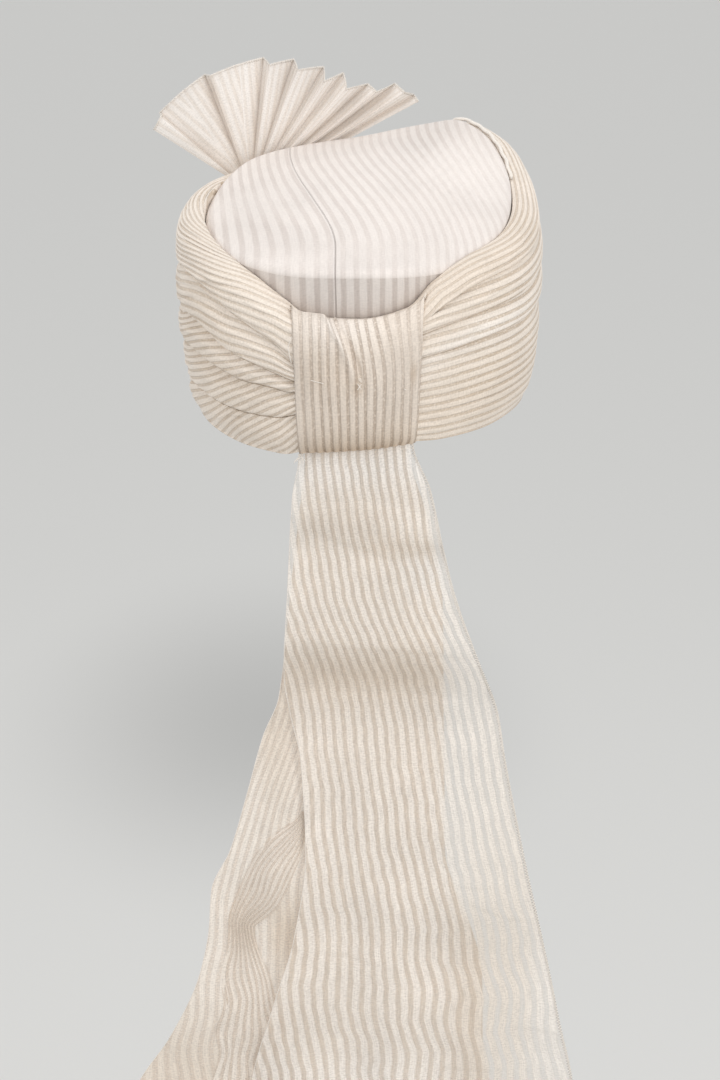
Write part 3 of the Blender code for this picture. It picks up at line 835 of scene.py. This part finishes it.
def band_outer(turn, number, local):
    """Level, depth and rise of a band's outer face. The top band rolls over to the cap."""
    low = wrap_low(turn)
    height = wrap_top(turn) - low
    start = fold_rise(turn, number)
    end = fold_rise(turn, number + 1)
    below = groove_share(turn, number)
    above = groove_share(turn, number + 1)
    foot = low + height * start + fold_gap(below)
    if number < BAND_COUNT - 1:
        rise = start + (end - start) * local
        head = low + height * end - fold_gap(above)
        level = foot + (head - foot) * local
        depth = wrap_depth(rise)
        tuck = ease(local, 0.5, 1.0)
    else:
        climb = np.clip(local / CLIMB_SHARE, 0, 1)
        rise = start + (ROLL_START - start) * climb
        angle = np.clip((local - CLIMB_SHARE) / (1 - CLIMB_SHARE), 0, 1) * math.pi / 2
        rolled = height * (1 - ROLL_START) * np.sin(angle)
        level = foot + (low + height * ROLL_START - foot) * climb + rolled
        depth = RIM_GAP + (wrap_depth(rise) - RIM_GAP) * np.cos(angle)
        tuck = 0 * local
    lip = bell(height * (end - start) * local, LIP_HEIGHT)
    depth = depth * (1 - LIP_SHARE * below * lip - above * tuck)
    return level, depth, rise


def band_folds(turn, level):
    """The bands' small folds, with turns and rises made into metres around and up."""
    reach = (HEAD_WIDTH + HEAD_LENGTH) / 4 + WRAP_DEPTH
    folds = []
    for fold in BAND_FOLDS:
        line = []
        for at_turn, at_rise in fold.line:
            low = float(wrap_low(at_turn))
            high = float(wrap_top(at_turn))
            line.append((math.radians(at_turn) * reach, low + (high - low) * at_rise))
        folds.append(fold._replace(line=tuple(line)))
    return folded(np.radians(turn) * reach, level, folds, BAND_FOLD_BLEND)


# The ribs of the satin stripes, and ripples that are stronger to the left of the loop
BAND_RIB = 0.00014
BAND_RIB_GATHERED = 0.00012
BAND_RIPPLE = 0.0002
BAND_RIPPLE_LEFT = 0.0006
BAND_CREASE_WIDTH = 0.09
BACK_INSET = 0.0006
TOP_BACK_INSET = 0.004


def make_band(number, material):
    """One wound band as a closed ring: its pleated outer face, and its back against the cap."""
    around = 540
    top = number == BAND_COUNT - 1
    up = 84 if top else 52
    turn = np.linspace(-180, 180, around + 1)[None, :]
    local = np.linspace(0, 1, up)[:, None]
    level, depth, rise = band_outer(turn, number, local)
    first = curve(BAND_STRIPES, "low_%d" % (number + 1), turn)
    last = curve(BAND_STRIPES, "high_%d" % (number + 1), turn)
    step = np.hypot(np.diff(level, axis=0), np.diff(depth, axis=0))
    reached = np.concatenate([0 * turn, np.cumsum(step, axis=0)])
    stripes = first + (last - first) * reached / reached[-1:]
    height = (wrap_top(turn) - wrap_low(turn)) * (fold_rise(turn, number + 1) - fold_rise(turn, number))
    gather = np.clip((last - first) * STRIPE_PERIOD / height - 0.7, 0, 1.5)
    ends = ease(local, 0.0, 0.06) * (1 - ease(local, 0.94, 1.0))
    size = BAND_RIPPLE + BAND_RIPPLE_LEFT * left_share(turn)
    rib = -np.cos(math.tau * stripes) * (BAND_RIB + BAND_RIB_GATHERED * gather) * ends
    ripple = size * drift(turn * 0.05 + 0 * local, stripes * 0.6, 3.0 + number) * ends
    lines = drift(turn * 0.03 + 0 * local, stripes * 0.9 + number * 7, 11.0 + number)
    crease = -size * bell(lines, BAND_CREASE_WIDTH) * ends
    depth = depth + rib + ripple + crease + band_folds(turn, level) * ends
    outer = cap_point(turn, level, depth)
    back_top = level[-1] - (TOP_BACK_INSET if top else BACK_INSET)
    back_level = np.stack([back_top, level[0] * 0.5 + level[-1] * 0.5, level[0] + BACK_INSET])
    back = cap_point(turn, back_level, PIECE_GAP)
    points = np.concatenate([outer, back, outer[:1]])
    pad = np.broadcast_to(last, (1, around + 1))
    stripes = np.concatenate([stripes, pad + 0.3, pad + 1, pad + 2, pad + 2.3])
    along = np.broadcast_to(turn * math.pi / 180 * (HEAD_WIDTH + HEAD_LENGTH) / 4, stripes.shape)
    plain = np.clip(spotted(turn, rise, BAND_FAINT), 0, 1)
    # Painted light and shade from the band's spots.
    tone = 1 + spotted(turn, rise, BAND_PAINTED_SHADE)
    behind = np.ones((4, around + 1))
    plain = np.concatenate([plain, 0 * behind])
    tone = np.concatenate([tone, behind])
    grid = cloth_grid(points, stripes, along, plain, tone)
    band = cloth_object("wound_band_%d" % (number + 1), [grid], material, wrap_rows=True, wrap_columns=True)
    return dress(band, "band_cloth", "wrap_band_%d" % (number + 1))


# Keeper loop

# How far the loop's upper edge rises beside its pull fold, and how deep its dents are
LOOP_CREST_LEFT = 0.0026
LOOP_CREST_RIGHT = 0.0016
LOOP_RIB = 0.00022
LOOP_RIB_GATHERED = 0.0004
PULL_HEIGHT = 0.0026
PUCKER_DEPTH = 0.0018
POCKET_DEPTH = 0.0016
LOOP_EDGE_ROLL = 0.0006
LOOP_WAVE = 0.0007
LOOP_CRINKLE = 0.00025


def loop_surface(x_share, way, lift):
    """The loop's path from behind the top band, over and down, to under the lowest one."""
    inner_end = 0.75
    foot_end = 0.4
    top_end = 0.14
    foot_start = 0.84
    hug = 0.3
    foot_x = LOOP_FOOT_WIDTH * x_share + LOOP_FOOT_SHIFT
    x = LOOP_WIDTH * x_share + (foot_x - LOOP_WIDTH * x_share) * way
    rise = np.clip((foot_start - way) / (foot_start - top_end), 0, 1)
    rise = 0.5 - 0.5 * np.cos(math.pi * rise)
    depth = wrap_depth(rise)
    depth = depth * np.where(way < top_end, inner_end + (1 - inner_end) * way / top_end, 1.0)
    foot = 1 - (1 - foot_end) * (way - foot_start) / (1 - foot_start)
    depth = depth * np.where(way > foot_start, foot, 1.0)
    turn = turn_at_side(x, depth)
    low = wrap_low(turn) - LOOP_CLEARANCE
    height = wrap_top(turn) + LOOP_CLEARANCE - low
    outset = depth + LOOP_CLEARANCE * np.sin(math.pi * rise) ** hug + lift
    crest = LOOP_CREST_LEFT * ease(x_share, 0.215, 0.255)
    crest = (crest + LOOP_CREST_RIGHT * bell(x_share + 0.42, 0.05)) * bell(way - top_end, 0.07)
    return cap_point(turn, low + height * rise + crest, outset)


def make_loop(material):
    """The keeper loop, with a fold pulled slantwise from its upper edge to a stitched pucker."""
    columns = 150
    rows = 120
    across = np.linspace(-0.5, 0.5, columns + 1)[None, :]
    way = np.linspace(0, 1, rows + 1)[:, None]
    stripes = -across * LOOP_STRIPES + 0 * way
    centre = 0.02 + 0.22 * ease(way, 0.5, 0.12)
    held = ease(way, 0.1, 0.2) * (1 - ease(way, 0.42, 0.52))
    pull = (bell(across - centre, 0.03) - 0.6 * bell(across - centre + 0.055, 0.022)) * held
    pucker = np.exp(-((across / 0.045) ** 2 + ((way - 0.48) / 0.03) ** 2))
    pocket = np.exp(-(((across + 0.44) / 0.025) ** 2 + ((way - 0.46) / 0.035) ** 2))
    edge_roll = bell(0.5 - np.abs(across), 0.035)
    gather = ease(way, 0.68, 0.84)
    rib = -np.cos(math.tau * stripes) * (LOOP_RIB + LOOP_RIB_GATHERED * gather)
    lift = PIECE_GAP + rib + PULL_HEIGHT * pull - PUCKER_DEPTH * pucker
    lift = lift - POCKET_DEPTH * pocket - LOOP_EDGE_ROLL * edge_roll
    lift = lift + LOOP_WAVE * drift(across * 14, way * 5, 9.0)
    lift = lift + LOOP_CRINKLE * drift(across * 45, way * 30, 10.0)
    beyond_pull = ease(-across, -centre - 0.015, -centre + 0.045) * (1 - 0.6 * ease(-across, 0.1, 0.5))
    stripes = stripes + 1.3 * beyond_pull * ease(way, 0.48, 0.14) - 0.5 * across * ease(way, 0.7, 0.86)
    stripes = stripes + 0.18 * drift(across * 9, way * 5, 12.0)
    plain = np.clip(LOOP_PLAIN + spotted(across, way, LOOP_FAINT) - 0.2 * gather, 0, 1)
    # Painted light and shade: lighter on the raised pull fold, darker in the pucker and pocket dents.
    tone = 1 + spotted(across, way, LOOP_PAINTED_SHADE) + 0.03 * pull - 0.1 * pucker - 0.12 * pocket
    points = loop_surface(across, way, lift)
    along = 0.12 * way + 0 * across
    loop = cloth_object("keeper_loop", [cloth_grid(points, stripes, along, plain, tone)], material)
    thicken(loop, LOOP_THICKNESS, -1.0)
    return dress(loop, "band_cloth", "back_loop")


# Tail panels

INNER_SEAT = WRAP_DEPTH / 2 - PANEL_DISTANCE


def tail_points(rows, spread, seat_depth, across, drop, folds, seed):
    """A tail panel's points, from under the loop down, by shares across it and of its drop."""
    left = spread * curve(rows, "left", drop)
    right = -spread * curve(rows, "right", drop)
    x = left + (right - left) * across
    bow = TAIL_BOW * curve(rows, "bow", drop)
    turn = turn_at_side(x, seat_depth)
    top = wrap_low(turn) - LOOP_CLEARANCE - LOOP_THICKNESS / 2
    settle = np.maximum(0, 1 - drop / TAIL_SETTLE_SHARE)
    back = cap_point(turn, 0.0, seat_depth)[..., 1]
    level_back = float(cap_point(0.0, 0.0, seat_depth)[1])
    y = level_back + (back - level_back) * settle
    z = top * settle - TAIL_LENGTH * drop
    return stack(x, y + bow + tail_relief(x, z, drop, folds, seed), z)


# The outer panel's stripes: where stripe 0 lies, as a share of the spread towards the wearer's
# right, and how far apart the stripes are
TailStripes = namedtuple("TailStripes", "drop start period")
OUTER_STRIPES = table(
    TailStripes,
    (0.0, 0.178, 0.00516), (0.1, 0.215, 0.0053), (0.2, 0.262, 0.0055), (0.3, 0.345, 0.00575),
    (0.34, 0.378, 0.00585), (0.46, 0.425, 0.006), (0.6, 0.49, 0.0064), (0.73, 0.555, 0.0068),
    (0.84, 0.598, 0.0071), (1.0, 0.655, 0.0073),
)
OUTER_FOLDS = table(
    Fold,
    (0.0015, 0.004, ((-0.043, -0.076), (-0.047, -0.088))),
    (0.0012, 0.0035, ((-0.077, -0.15), (-0.083, -0.175), (-0.089, -0.2))),
    (0.0013, 0.005, ((-0.06, -0.165), (-0.073, -0.186), (-0.086, -0.202))),
    (0.0012, 0.005, ((-0.036, -0.318), (0.008, -0.306), (0.034, -0.303))),
    (0.001, 0.005, ((0.026, -0.322), (0.046, -0.319))),
    (0.0012, 0.005, ((-0.104, -0.285), (-0.086, -0.282), (-0.055, -0.267))),
    (0.0009, 0.004, ((-0.086, -0.263), (-0.048, -0.26))),
    (0.0011, 0.0045, ((-0.088, -0.378), (-0.042, -0.378))),
    (0.0011, 0.0045, ((-0.119, -0.355), (-0.09, -0.35))),
    (0.002, 0.012, ((-0.07, -0.121), (-0.02, -0.116), (0.036, -0.112))),
    (0.0016, 0.01, ((0.036, -0.146), (-0.02, -0.148), (-0.068, -0.152))),
    (0.0016, 0.012, ((0.036, -0.03), (0.0, -0.026), (-0.036, -0.034))),
    (0.0014, 0.01, ((-0.045, -0.052), (-0.02, -0.062), (0.034, -0.042))),
)
# The inner panel's stripes: where one of them lies, in metres to the wearer's left, and how far
# apart they are there
InnerStripes = namedtuple("InnerStripes", "drop line period")
INNER_STRIPES = table(
    InnerStripes,
    (0.0, 0.036, 0.0052), (0.37, 0.048, 0.0048), (0.51, 0.066, 0.0047), (0.6, 0.077, 0.0048),
    (0.68, 0.086, 0.0052), (0.8, 0.09, 0.006), (1.0, 0.096, 0.0068),
)
# The gathered fold that hangs in front of the inner panel: its middle line and its width in metres
FoldRow = namedtuple("FoldRow", "drop side width")
GATHERED_FOLD = table(
    FoldRow,
    (0.54, 0.033, 0.004), (0.6, 0.047, 0.021), (0.663, 0.06, 0.025), (0.718, 0.071, 0.0155),
    (0.775, 0.07, 0.025), (0.84, 0.066, 0.034), (0.905, 0.067, 0.041), (1.0, 0.07, 0.047),
)
FOLD_STRIPES = 8.0
FOLD_PUFF = 0.0016
FOLD_LIFT = 0.0003
FOLD_RIB = 0.0005
INNER_FOLDS = table(
    Fold,
    (0.0015, 0.006, ((0.061, -0.249), (0.058, -0.23), (0.05, -0.19), (0.051, -0.154))),
    (0.0016, 0.006, ((0.104, -0.339), (0.108, -0.365), (0.113, -0.398))),
    (0.0012, 0.004, ((0.082, -0.3), (0.078, -0.33), (0.07, -0.36))),
    (0.0012, 0.004, ((0.074, -0.296), (0.069, -0.32), (0.06, -0.35))),
)
# How far both panels stand out down the tail, besides their bow
TailSag = namedtuple("TailSag", "drop out")
TAIL_SAGS = table(
    TailSag,
    (0.0, 0.0), (0.055, 0.0008), (0.095, 0.002), (0.14, -0.002), (0.28, 0.007), (0.36, -0.0026),
    (0.48, 0.0), (0.62, 0.0042), (0.75, 0.0018), (0.85, 0.0036), (1.0, 0.0008),
)
TAIL_WAVE = 0.002
TAIL_WAVE_LENGTH = 0.056
TAIL_SLACK = 0.0011
TAIL_CRINKLE = 0.00022
TAIL_FINE_CRINKLE = 0.00016


def tail_relief(x, z, drop, folds, seed):
    """How far the hanging cloth stands out: upright waves, slack across and small folds."""
    free = ease(drop, 0.0, 0.1)
    wave = TAIL_WAVE * np.sin(math.tau * x / TAIL_WAVE_LENGTH + 4.0 * drop) * np.minimum(1, 2 * drop)
    sag = curve(TAIL_SAGS, "out", drop + 0.35 * x)
    slack = TAIL_SLACK * drift(x * 20, z * 55, 5.0) * free
    coarse = TAIL_CRINKLE * drift(x * 95, z * 170, seed)
    fine = TAIL_FINE_CRINKLE * drift(x * 210, z * 300, seed + 2)
    crinkle = (coarse + fine) * free
    return wave + sag + slack + crinkle + folded(x, z, folds, TAIL_FOLD_BLEND) * free


def unit_grid(columns, rows):
    """Shares across and down, for a mesh of so many columns and rows."""
    return np.linspace(0, 1, columns + 1)[None, :], np.linspace(0, 1, rows + 1)[:, None]


def panel_grid(points, stripes, drop, shade_spots):
    x = points[..., 0]
    plain = np.clip(spotted(x, drop, TAIL_FAINT), 0, 1)
    # The panel's spots of painted light and shade scale its colour.
    return cloth_grid(points, stripes, TAIL_LENGTH * drop, plain, 1 + spotted(x, drop, shade_spots))


def make_tail_outer(material):
    """The outer panel, of one sheer layer."""
    across, drop = unit_grid(210, 420)
    points = tail_points(OUTER_PANEL, TAIL_SPREAD, WRAP_DEPTH / 2, across, drop, OUTER_FOLDS, 5.0)
    x = points[..., 0]
    start = -TAIL_SPREAD * curve(OUTER_STRIPES, "start", drop)
    stripes = (x - start) / curve(OUTER_STRIPES, "period", drop)
    stripes = stripes + 0.55 * drift(x * 16, drop * 22, 6.0) * ease(drop, 0.4, 0.85)
    stripes = stripes + 0.13 * drift(x * 60, drop * 60, 8.0)
    tail = cloth_object("tail_outer", [panel_grid(points, stripes, drop, OUTER_PAINTED_SHADE)], material)
    return dress(tail, "sheer_cloth", "tail_outer_panel"), points


def gathered_fold():
    """A fold of the inner panel, pinched half way down, whose stripes crowd together and part again."""
    drop = np.linspace(GATHERED_FOLD[0].drop, 1.0, 230)[:, None]
    share = np.linspace(-0.5, 0.5, 89)[None, :]
    side = curve(GATHERED_FOLD, "side", drop)
    width = curve(GATHERED_FOLD, "width", drop)
    level = -TAIL_LENGTH * drop
    slope_x = np.gradient(side, axis=0)
    slope_z = np.gradient(level, axis=0)
    size = np.hypot(slope_x, slope_z)
    reach = share * width + 0.1 * drift(drop * 30, share * 3, 14.0) * width
    x = side - slope_z / size * reach
    z = np.maximum(level + slope_x / size * reach, -TAIL_LENGTH)
    stripes = FOLD_STRIPES * share + 0.3 * drift(drop * 36, share * 5, 15.0)
    below = -z / TAIL_LENGTH
    out = tail_relief(x, z, below, (), 7.0) + TAIL_BOW * curve(INNER_PANEL, "bow", below)
    back = float(cap_point(0.0, 0.0, INNER_SEAT)[1])
    puff = FOLD_PUFF * (1 - (2 * share) ** 2) + FOLD_LIFT
    crowded = FOLD_RIB * np.cos(math.tau * stripes) * np.clip(0.02 / width, 0, 1)
    # Painted shade where the fold is pinched.
    tone = 1 - 0.05 * bell(drop - 0.718, 0.05)
    return cloth_grid(stack(x, back + out + puff + crowded, z), stripes, TAIL_LENGTH * drop, 0.1, tone)


def make_tail_inner(material):
    """The inner panel, of two sheer layers, with its gathered fold."""
    across, drop = unit_grid(180, 380)
    points = tail_points(INNER_PANEL, INNER_SPREAD, INNER_SEAT, across, drop, INNER_FOLDS, 7.0)
    x = points[..., 0]
    stripes = (curve(INNER_STRIPES, "line", drop) - x) / curve(INNER_STRIPES, "period", drop)
    stripes = stripes + 0.45 * drift(x * 34, drop * 30, 7.0) * ease(drop, 0.45, 0.65)
    panel = panel_grid(points, stripes, drop, INNER_PAINTED_SHADE)
    tail = cloth_object("tail_inner", [panel, gathered_fold()], material)
    return dress(tail, "sheer_cloth", "tail_inner_panel"), points


# Fan

FAN_FOOT = 0.006
FAN_SHARPNESS = 1.8
FAN_BELLY = 0.0012
FAN_WAVE = 0.0012
FAN_PLAIN = 0.28
# Painted shade on the fan: darker near its foot, on the side of each panel that falls back under the next,
# on narrow returns and along spotted crease lines; FAN_LIGHT lightens the panels a little.
FAN_FOOT_SHADE = 0.2
FAN_PAINTED_SHADE = table(
    Spot,
    (60, 0.8, 22, 0.6, -0.05), (46, 0.42, 4, 0.28, -0.1), (69, 0.45, 3, 0.3, -0.1),
    (70, 0.85, 1.6, 0.14, -0.1), (94, 0.45, 5, 0.35, -0.08), (146, 0.55, 9, 0.4, -0.05),
)
FAN_LIGHT = 1.04
FALLING_SHADE = 0.13
NARROW_SHADE = 0.1
NARROW_ANGLE = 3.5
FOOT_SHADE_REACH = 0.22
PANEL_COLUMNS = 14
FAN_ROWS = 64


def fan_points(first, second, share, way):
    """Points between a crease and the next one, and a share of the way out from the fan's foot."""
    angle, reach, pleat = (low + (high - low) * share for low, high in zip(first, second))
    pivot = cap_point(FAN_TURN, float(wrap_top(FAN_TURN)) - FAN_SEAT_DROP, WRAP_DEPTH * FAN_SEAT_SHARE)
    radians = np.radians(angle)
    yaw = math.radians(FAN_YAW)
    radius = FAN_FOOT + (FAN_RADIUS * reach - FAN_FOOT) * way
    belly = FAN_BELLY * np.sin(math.pi * share) * way
    out = FAN_PLEAT * pleat * radius / FAN_RADIUS * FAN_SHARPNESS + belly
    out = out + FAN_WAVE * drift(angle * 0.05, way * 5, 4.0) * way
    x = pivot[0] + np.cos(radians) * math.cos(yaw) * radius - math.sin(yaw) * out
    y = pivot[1] + np.cos(radians) * math.sin(yaw) * radius + math.cos(yaw) * out
    return stack(x, y, pivot[2] + np.sin(radians) * radius)


def make_fan(material):
    """The fan's panels, each with stripes that run along its own crease and end under the next."""
    share = np.linspace(0, 1, PANEL_COLUMNS + 1)[None, :]
    way = np.linspace(0, 1, FAN_ROWS)[:, None] ** 0.8
    panels = []
    edges = []
    start = 0.0
    for first, second in zip(FAN_CREASES, FAN_CREASES[1:]):
        points = fan_points(first, second, share, way)
        width = np.linalg.norm(points[:, -1:] - points[:, :1], axis=-1)
        stripes = start + width * share / STRIPE_PERIOD
        along = np.linalg.norm(points - points[:1], axis=-1)
        falls = max(0.0, first.pleat - second.pleat) / 2
        narrow = second.angle - first.angle < NARROW_ANGLE
        # Painted light and shade for each panel: lighter overall, and darker toward its falling side, on
        # narrow returns, near the foot and along crease lines.
        tone = FAN_LIGHT - FALLING_SHADE * falls * ease(share, 0.4, 1.0) - NARROW_SHADE * narrow
        angle = first.angle + (second.angle - first.angle) * share
        tone = tone - FAN_FOOT_SHADE * np.exp(-way / FOOT_SHADE_REACH) + spotted(angle, way, FAN_PAINTED_SHADE)
        panels.append(cloth_grid(points, stripes, along, FAN_PLAIN, tone))
        edges.append(points[-1])
        start += float(width[-1, 0]) / STRIPE_PERIOD
    fan = cloth_object("pleated_fan", panels, material)
    return dress(fan, "fan_cloth", "turra_fan"), np.concatenate(edges)


# Threads

def zigzag(edge, inward, pitch, depth):
    """A sewn edge: points along an edge, in turn on it and a little inside."""
    steps = np.concatenate([[0], np.cumsum(np.linalg.norm(np.diff(edge, axis=0), axis=1))])
    count = int(steps[-1] / pitch * 2)
    at = np.linspace(0, steps[-1], count)
    line = np.stack([np.interp(at, steps, edge[:, axis]) for axis in range(3)], -1)
    inside = np.stack([np.interp(at, steps, inward[:, axis]) for axis in range(3)], -1)
    return line + unit(inside - line) * (depth * (np.arange(count) % 2))[:, None]


THREAD = 0.00024
SELVAGE_THREAD = 0.00048
PICOT_THREAD = 0.0005
RIM_HEM = 0.0011
RIM_HEM_TURNS = (99, 141)
RIM_HEM_SUNK = 0.0035
STITCH_LIFT = 0.0016
# How far apart a sewn edge's stitches lie, and how far in they reach
SELVAGE_STITCH = (0.0018, 0.0016)
PICOT_STITCH = (0.0017, 0.0012)
LOOSE_THREADS = 5
# Places across the loop and along it
LOOP_STITCHES = (
    ((0.36, 0.452), (0.3, 0.458), (0.26, 0.462)),
    ((0.0, 0.462), (-0.03, 0.482)),
    ((-0.03, 0.464), (0.0, 0.484)),
    ((0.495, 0.3), (0.525, 0.35), (0.505, 0.4)),
    ((-0.36, 0.5), (-0.38, 0.505)),
)


def stitch(line, count=9):
    """Evenly spaced points on the loop, along a line of places on it."""
    at = np.linspace(0, len(line) - 1, count)
    across, way = (np.interp(at, range(len(line)), [point[axis] for point in line]) for axis in range(2))
    return loop_surface(across, way, STITCH_LIFT + 0 * across)


def loose_thread(corner, number):
    """One of the thread ends that hang out at the loop's lower corner."""
    step = np.linspace(0, 1, 8)[:, None]
    way = np.array([0.0014 * (number - 2), 0.0016, -0.004 - 0.0011 * (number % 3)])
    return corner + step * way + 0.0008 * np.sin(step * 5 + number) * np.array([1.0, 0.4, 0.0])


def rim_hem():
    """The wrap's rolled hem on the crown's edge, which sinks in at both ends."""
    turn = np.linspace(*RIM_HEM_TURNS, 120)
    sunk = RIM_HEM_SUNK * (1 - np.sin(math.pi * np.linspace(0, 1, 120)) ** 0.25)
    return cap_point(turn, crown_edge(turn) - PIECE_GAP - sunk, 0.001 + 0.0004 * np.sin(turn * 0.9))


def make_threads(thread, outer, inner, fan_edge):
    """Sewn edges of the tail and the fan, the wrap's hem on the crown, and the loop's stitches."""
    below_fan = fan_edge.mean(axis=0) - np.array([0.0, 0.0, 0.06])
    corner = loop_surface(np.array(0.49), np.array(0.86), np.array(0.0012))
    loose = [loose_thread(corner, number) for number in range(LOOSE_THREADS)]
    selvage = zigzag(outer[:, -1], outer[:, -8], *SELVAGE_STITCH)
    picot = zigzag(fan_edge, below_fan + 0 * fan_edge, *PICOT_STITCH)
    for name, paths, radius, sides, slot in (
            ("tail_selvage", [selvage], SELVAGE_THREAD, 4, "sheer_cloth"),
            ("tail_hems", [outer[:, 0], outer[:, -2], inner[:, 0], inner[:, -1]], THREAD, 4, "sheer_cloth"),
            ("fan_picot", [picot], PICOT_THREAD, 4, "fan_cloth"),
            ("rim_hem", [rim_hem()], RIM_HEM, 8, "band_cloth"),
            ("loop_stitches", [stitch(line) for line in LOOP_STITCHES] + loose, THREAD, 5, "band_cloth")):
        dress(thread_object(name, paths, radius, thread, sides), slot)


# Camera, light and floor

CAMERA_DISTANCE = 2.2
CAMERA_RISE = math.radians(16.5)
CAMERA_PITCH = math.radians(18.64)
CAMERA_LENS = 122.22
CAMERA_SENSOR = 36.0
FRAME_HEIGHT = 1080
# A painted shadow on the floor behind the tail: where it lies, its size and how dark it gets.
FLOOR_SHADE_PLACE = (0.09, 0.62, 0.0)
FLOOR_SHADE_SIZE = (0.32, 0.55, 1.0)
FLOOR_SHADE = 0.75
FLOOR_COLOUR = (0.75, 0.75, 0.738)
FLOOR_SIZE = 14.0
FLOOR_PLACE = (0.0, -2.0, -0.75)
SKY_COLOUR = (0.99, 0.99, 0.985, 1.0)
SKY_STRENGTH = 0.775
Lamp = namedtuple("Lamp", "name place target size power colour")
LAMPS = table(
    Lamp,
    ("top light", (0.0, 0.25, 1.6), (0, 0, 0.05), 1.3, 5.5, (1.0, 0.99, 0.98)),
    ("side light", (1.3, 0.5, 0.9), (0.06, 0, 0.12), 0.5, 3.0, (1.0, 0.99, 0.98)),
    ("front light", (-1.3, 1.6, 0.7), (0, 0, -0.15), 1.0, 10.5, (1.0, 0.985, 0.96)),
)


def make_camera():
    data = bpy.data.cameras.new("camera")
    data.sensor_fit = "VERTICAL"
    data.sensor_height = CAMERA_SENSOR
    data.lens = CAMERA_LENS
    data.shift_x = -1.0 / FRAME_HEIGHT
    data.clip_end = 50.0
    camera = bpy.data.objects.new("camera", data)
    back = CAMERA_DISTANCE * math.cos(CAMERA_RISE)
    camera.location = (0.0, back, CAMERA_DISTANCE * math.sin(CAMERA_RISE))
    camera.rotation_euler = (math.pi / 2 - CAMERA_PITCH, 0.0, math.pi)
    bpy.context.scene.collection.objects.link(camera)
    bpy.context.scene.camera = camera


def add_lamp(lamp):
    data = bpy.data.lights.new(lamp.name, "AREA")
    data.shape = "DISK"
    data.size = lamp.size
    data.energy = lamp.power
    data.color = lamp.colour
    light = bpy.data.objects.new(lamp.name, data)
    light.location = lamp.place
    way = np.array(lamp.target, float) - np.array(lamp.place, float)
    light.rotation_euler = Vector(way).to_track_quat("-Z", "Y").to_euler()
    bpy.context.scene.collection.objects.link(light)


def make_studio():
    world = bpy.data.worlds.new("studio")
    world.use_nodes = True
    sky = world.node_tree.nodes["Background"]
    sky.inputs["Color"].default_value = SKY_COLOUR
    sky.inputs["Strength"].default_value = SKY_STRENGTH
    bpy.context.scene.world = world
    for lamp in LAMPS:
        add_lamp(lamp)
    bpy.ops.mesh.primitive_plane_add(size=FLOOR_SIZE, location=FLOOR_PLACE)
    floor = bpy.context.object
    floor.name = "floor"
    floor.data.materials.append(floor_material("floor", FLOOR_COLOUR))
    bpy.context.scene.view_settings.view_transform = "Standard"


def make_looks():
    make_camera()
    make_studio()
    crown_look = cloth_material(
        "crown cloth", (0.87, 0.81, 0.77), (0.69, 0.62, 0.58), sheer_share=0.42, soft=0.15,
        rib_height=0.00012, seam_at=7.6, fading=0.45, fade_end=0.1, grain_depth=0.5, slubs=0.12,
        warmth=(1.08, 1.15))
    band_look = cloth_material(
        "band cloth", (0.9, 0.81, 0.72), (0.65, 0.54, 0.43), sheer_share=0.36, soft=0.14,
        rib_height=0.0004, fading=0.25)
    loop_look = cloth_material(
        "loop cloth", (0.86, 0.77, 0.685), (0.54, 0.45, 0.375), sheer_share=0.36, soft=0.15,
        rib_height=0.0004)
    sheer_look = cloth_material(
        "sheer cloth", (0.96, 0.9, 0.835), (0.865, 0.775, 0.68), satin_alpha=0.92, sheer_alpha=0.42,
        sheer_share=0.42, soft=0.22, glow=0.15)
    double_look = cloth_material(
        "double sheer cloth", (0.94, 0.86, 0.775), (0.81, 0.7, 0.6), sheer_alpha=0.88,
        sheer_share=0.44, soft=0.22, glow=0.1)
    fan_look = cloth_material(
        "fan cloth", (0.97, 0.925, 0.885), (0.86, 0.785, 0.715), sheer_alpha=0.97, sheer_share=0.42,
        soft=0.3, glow=0.12, rib_height=0.0001, grain_depth=0.5, slubs=0.2, warmth=(1.25, 1.5))
    make_crown(crown_look)
    for number in range(BAND_COUNT):
        make_band(number, band_look)
    make_loop(loop_look)
    outer = make_tail_outer(sheer_look)[1]
    inner = make_tail_inner(double_look)[1]
    fan_edge = make_fan(fan_look)[1]
    make_threads(thread_material("sewing thread", (0.93, 0.87, 0.8)), outer, inner, fan_edge)


make_looks()
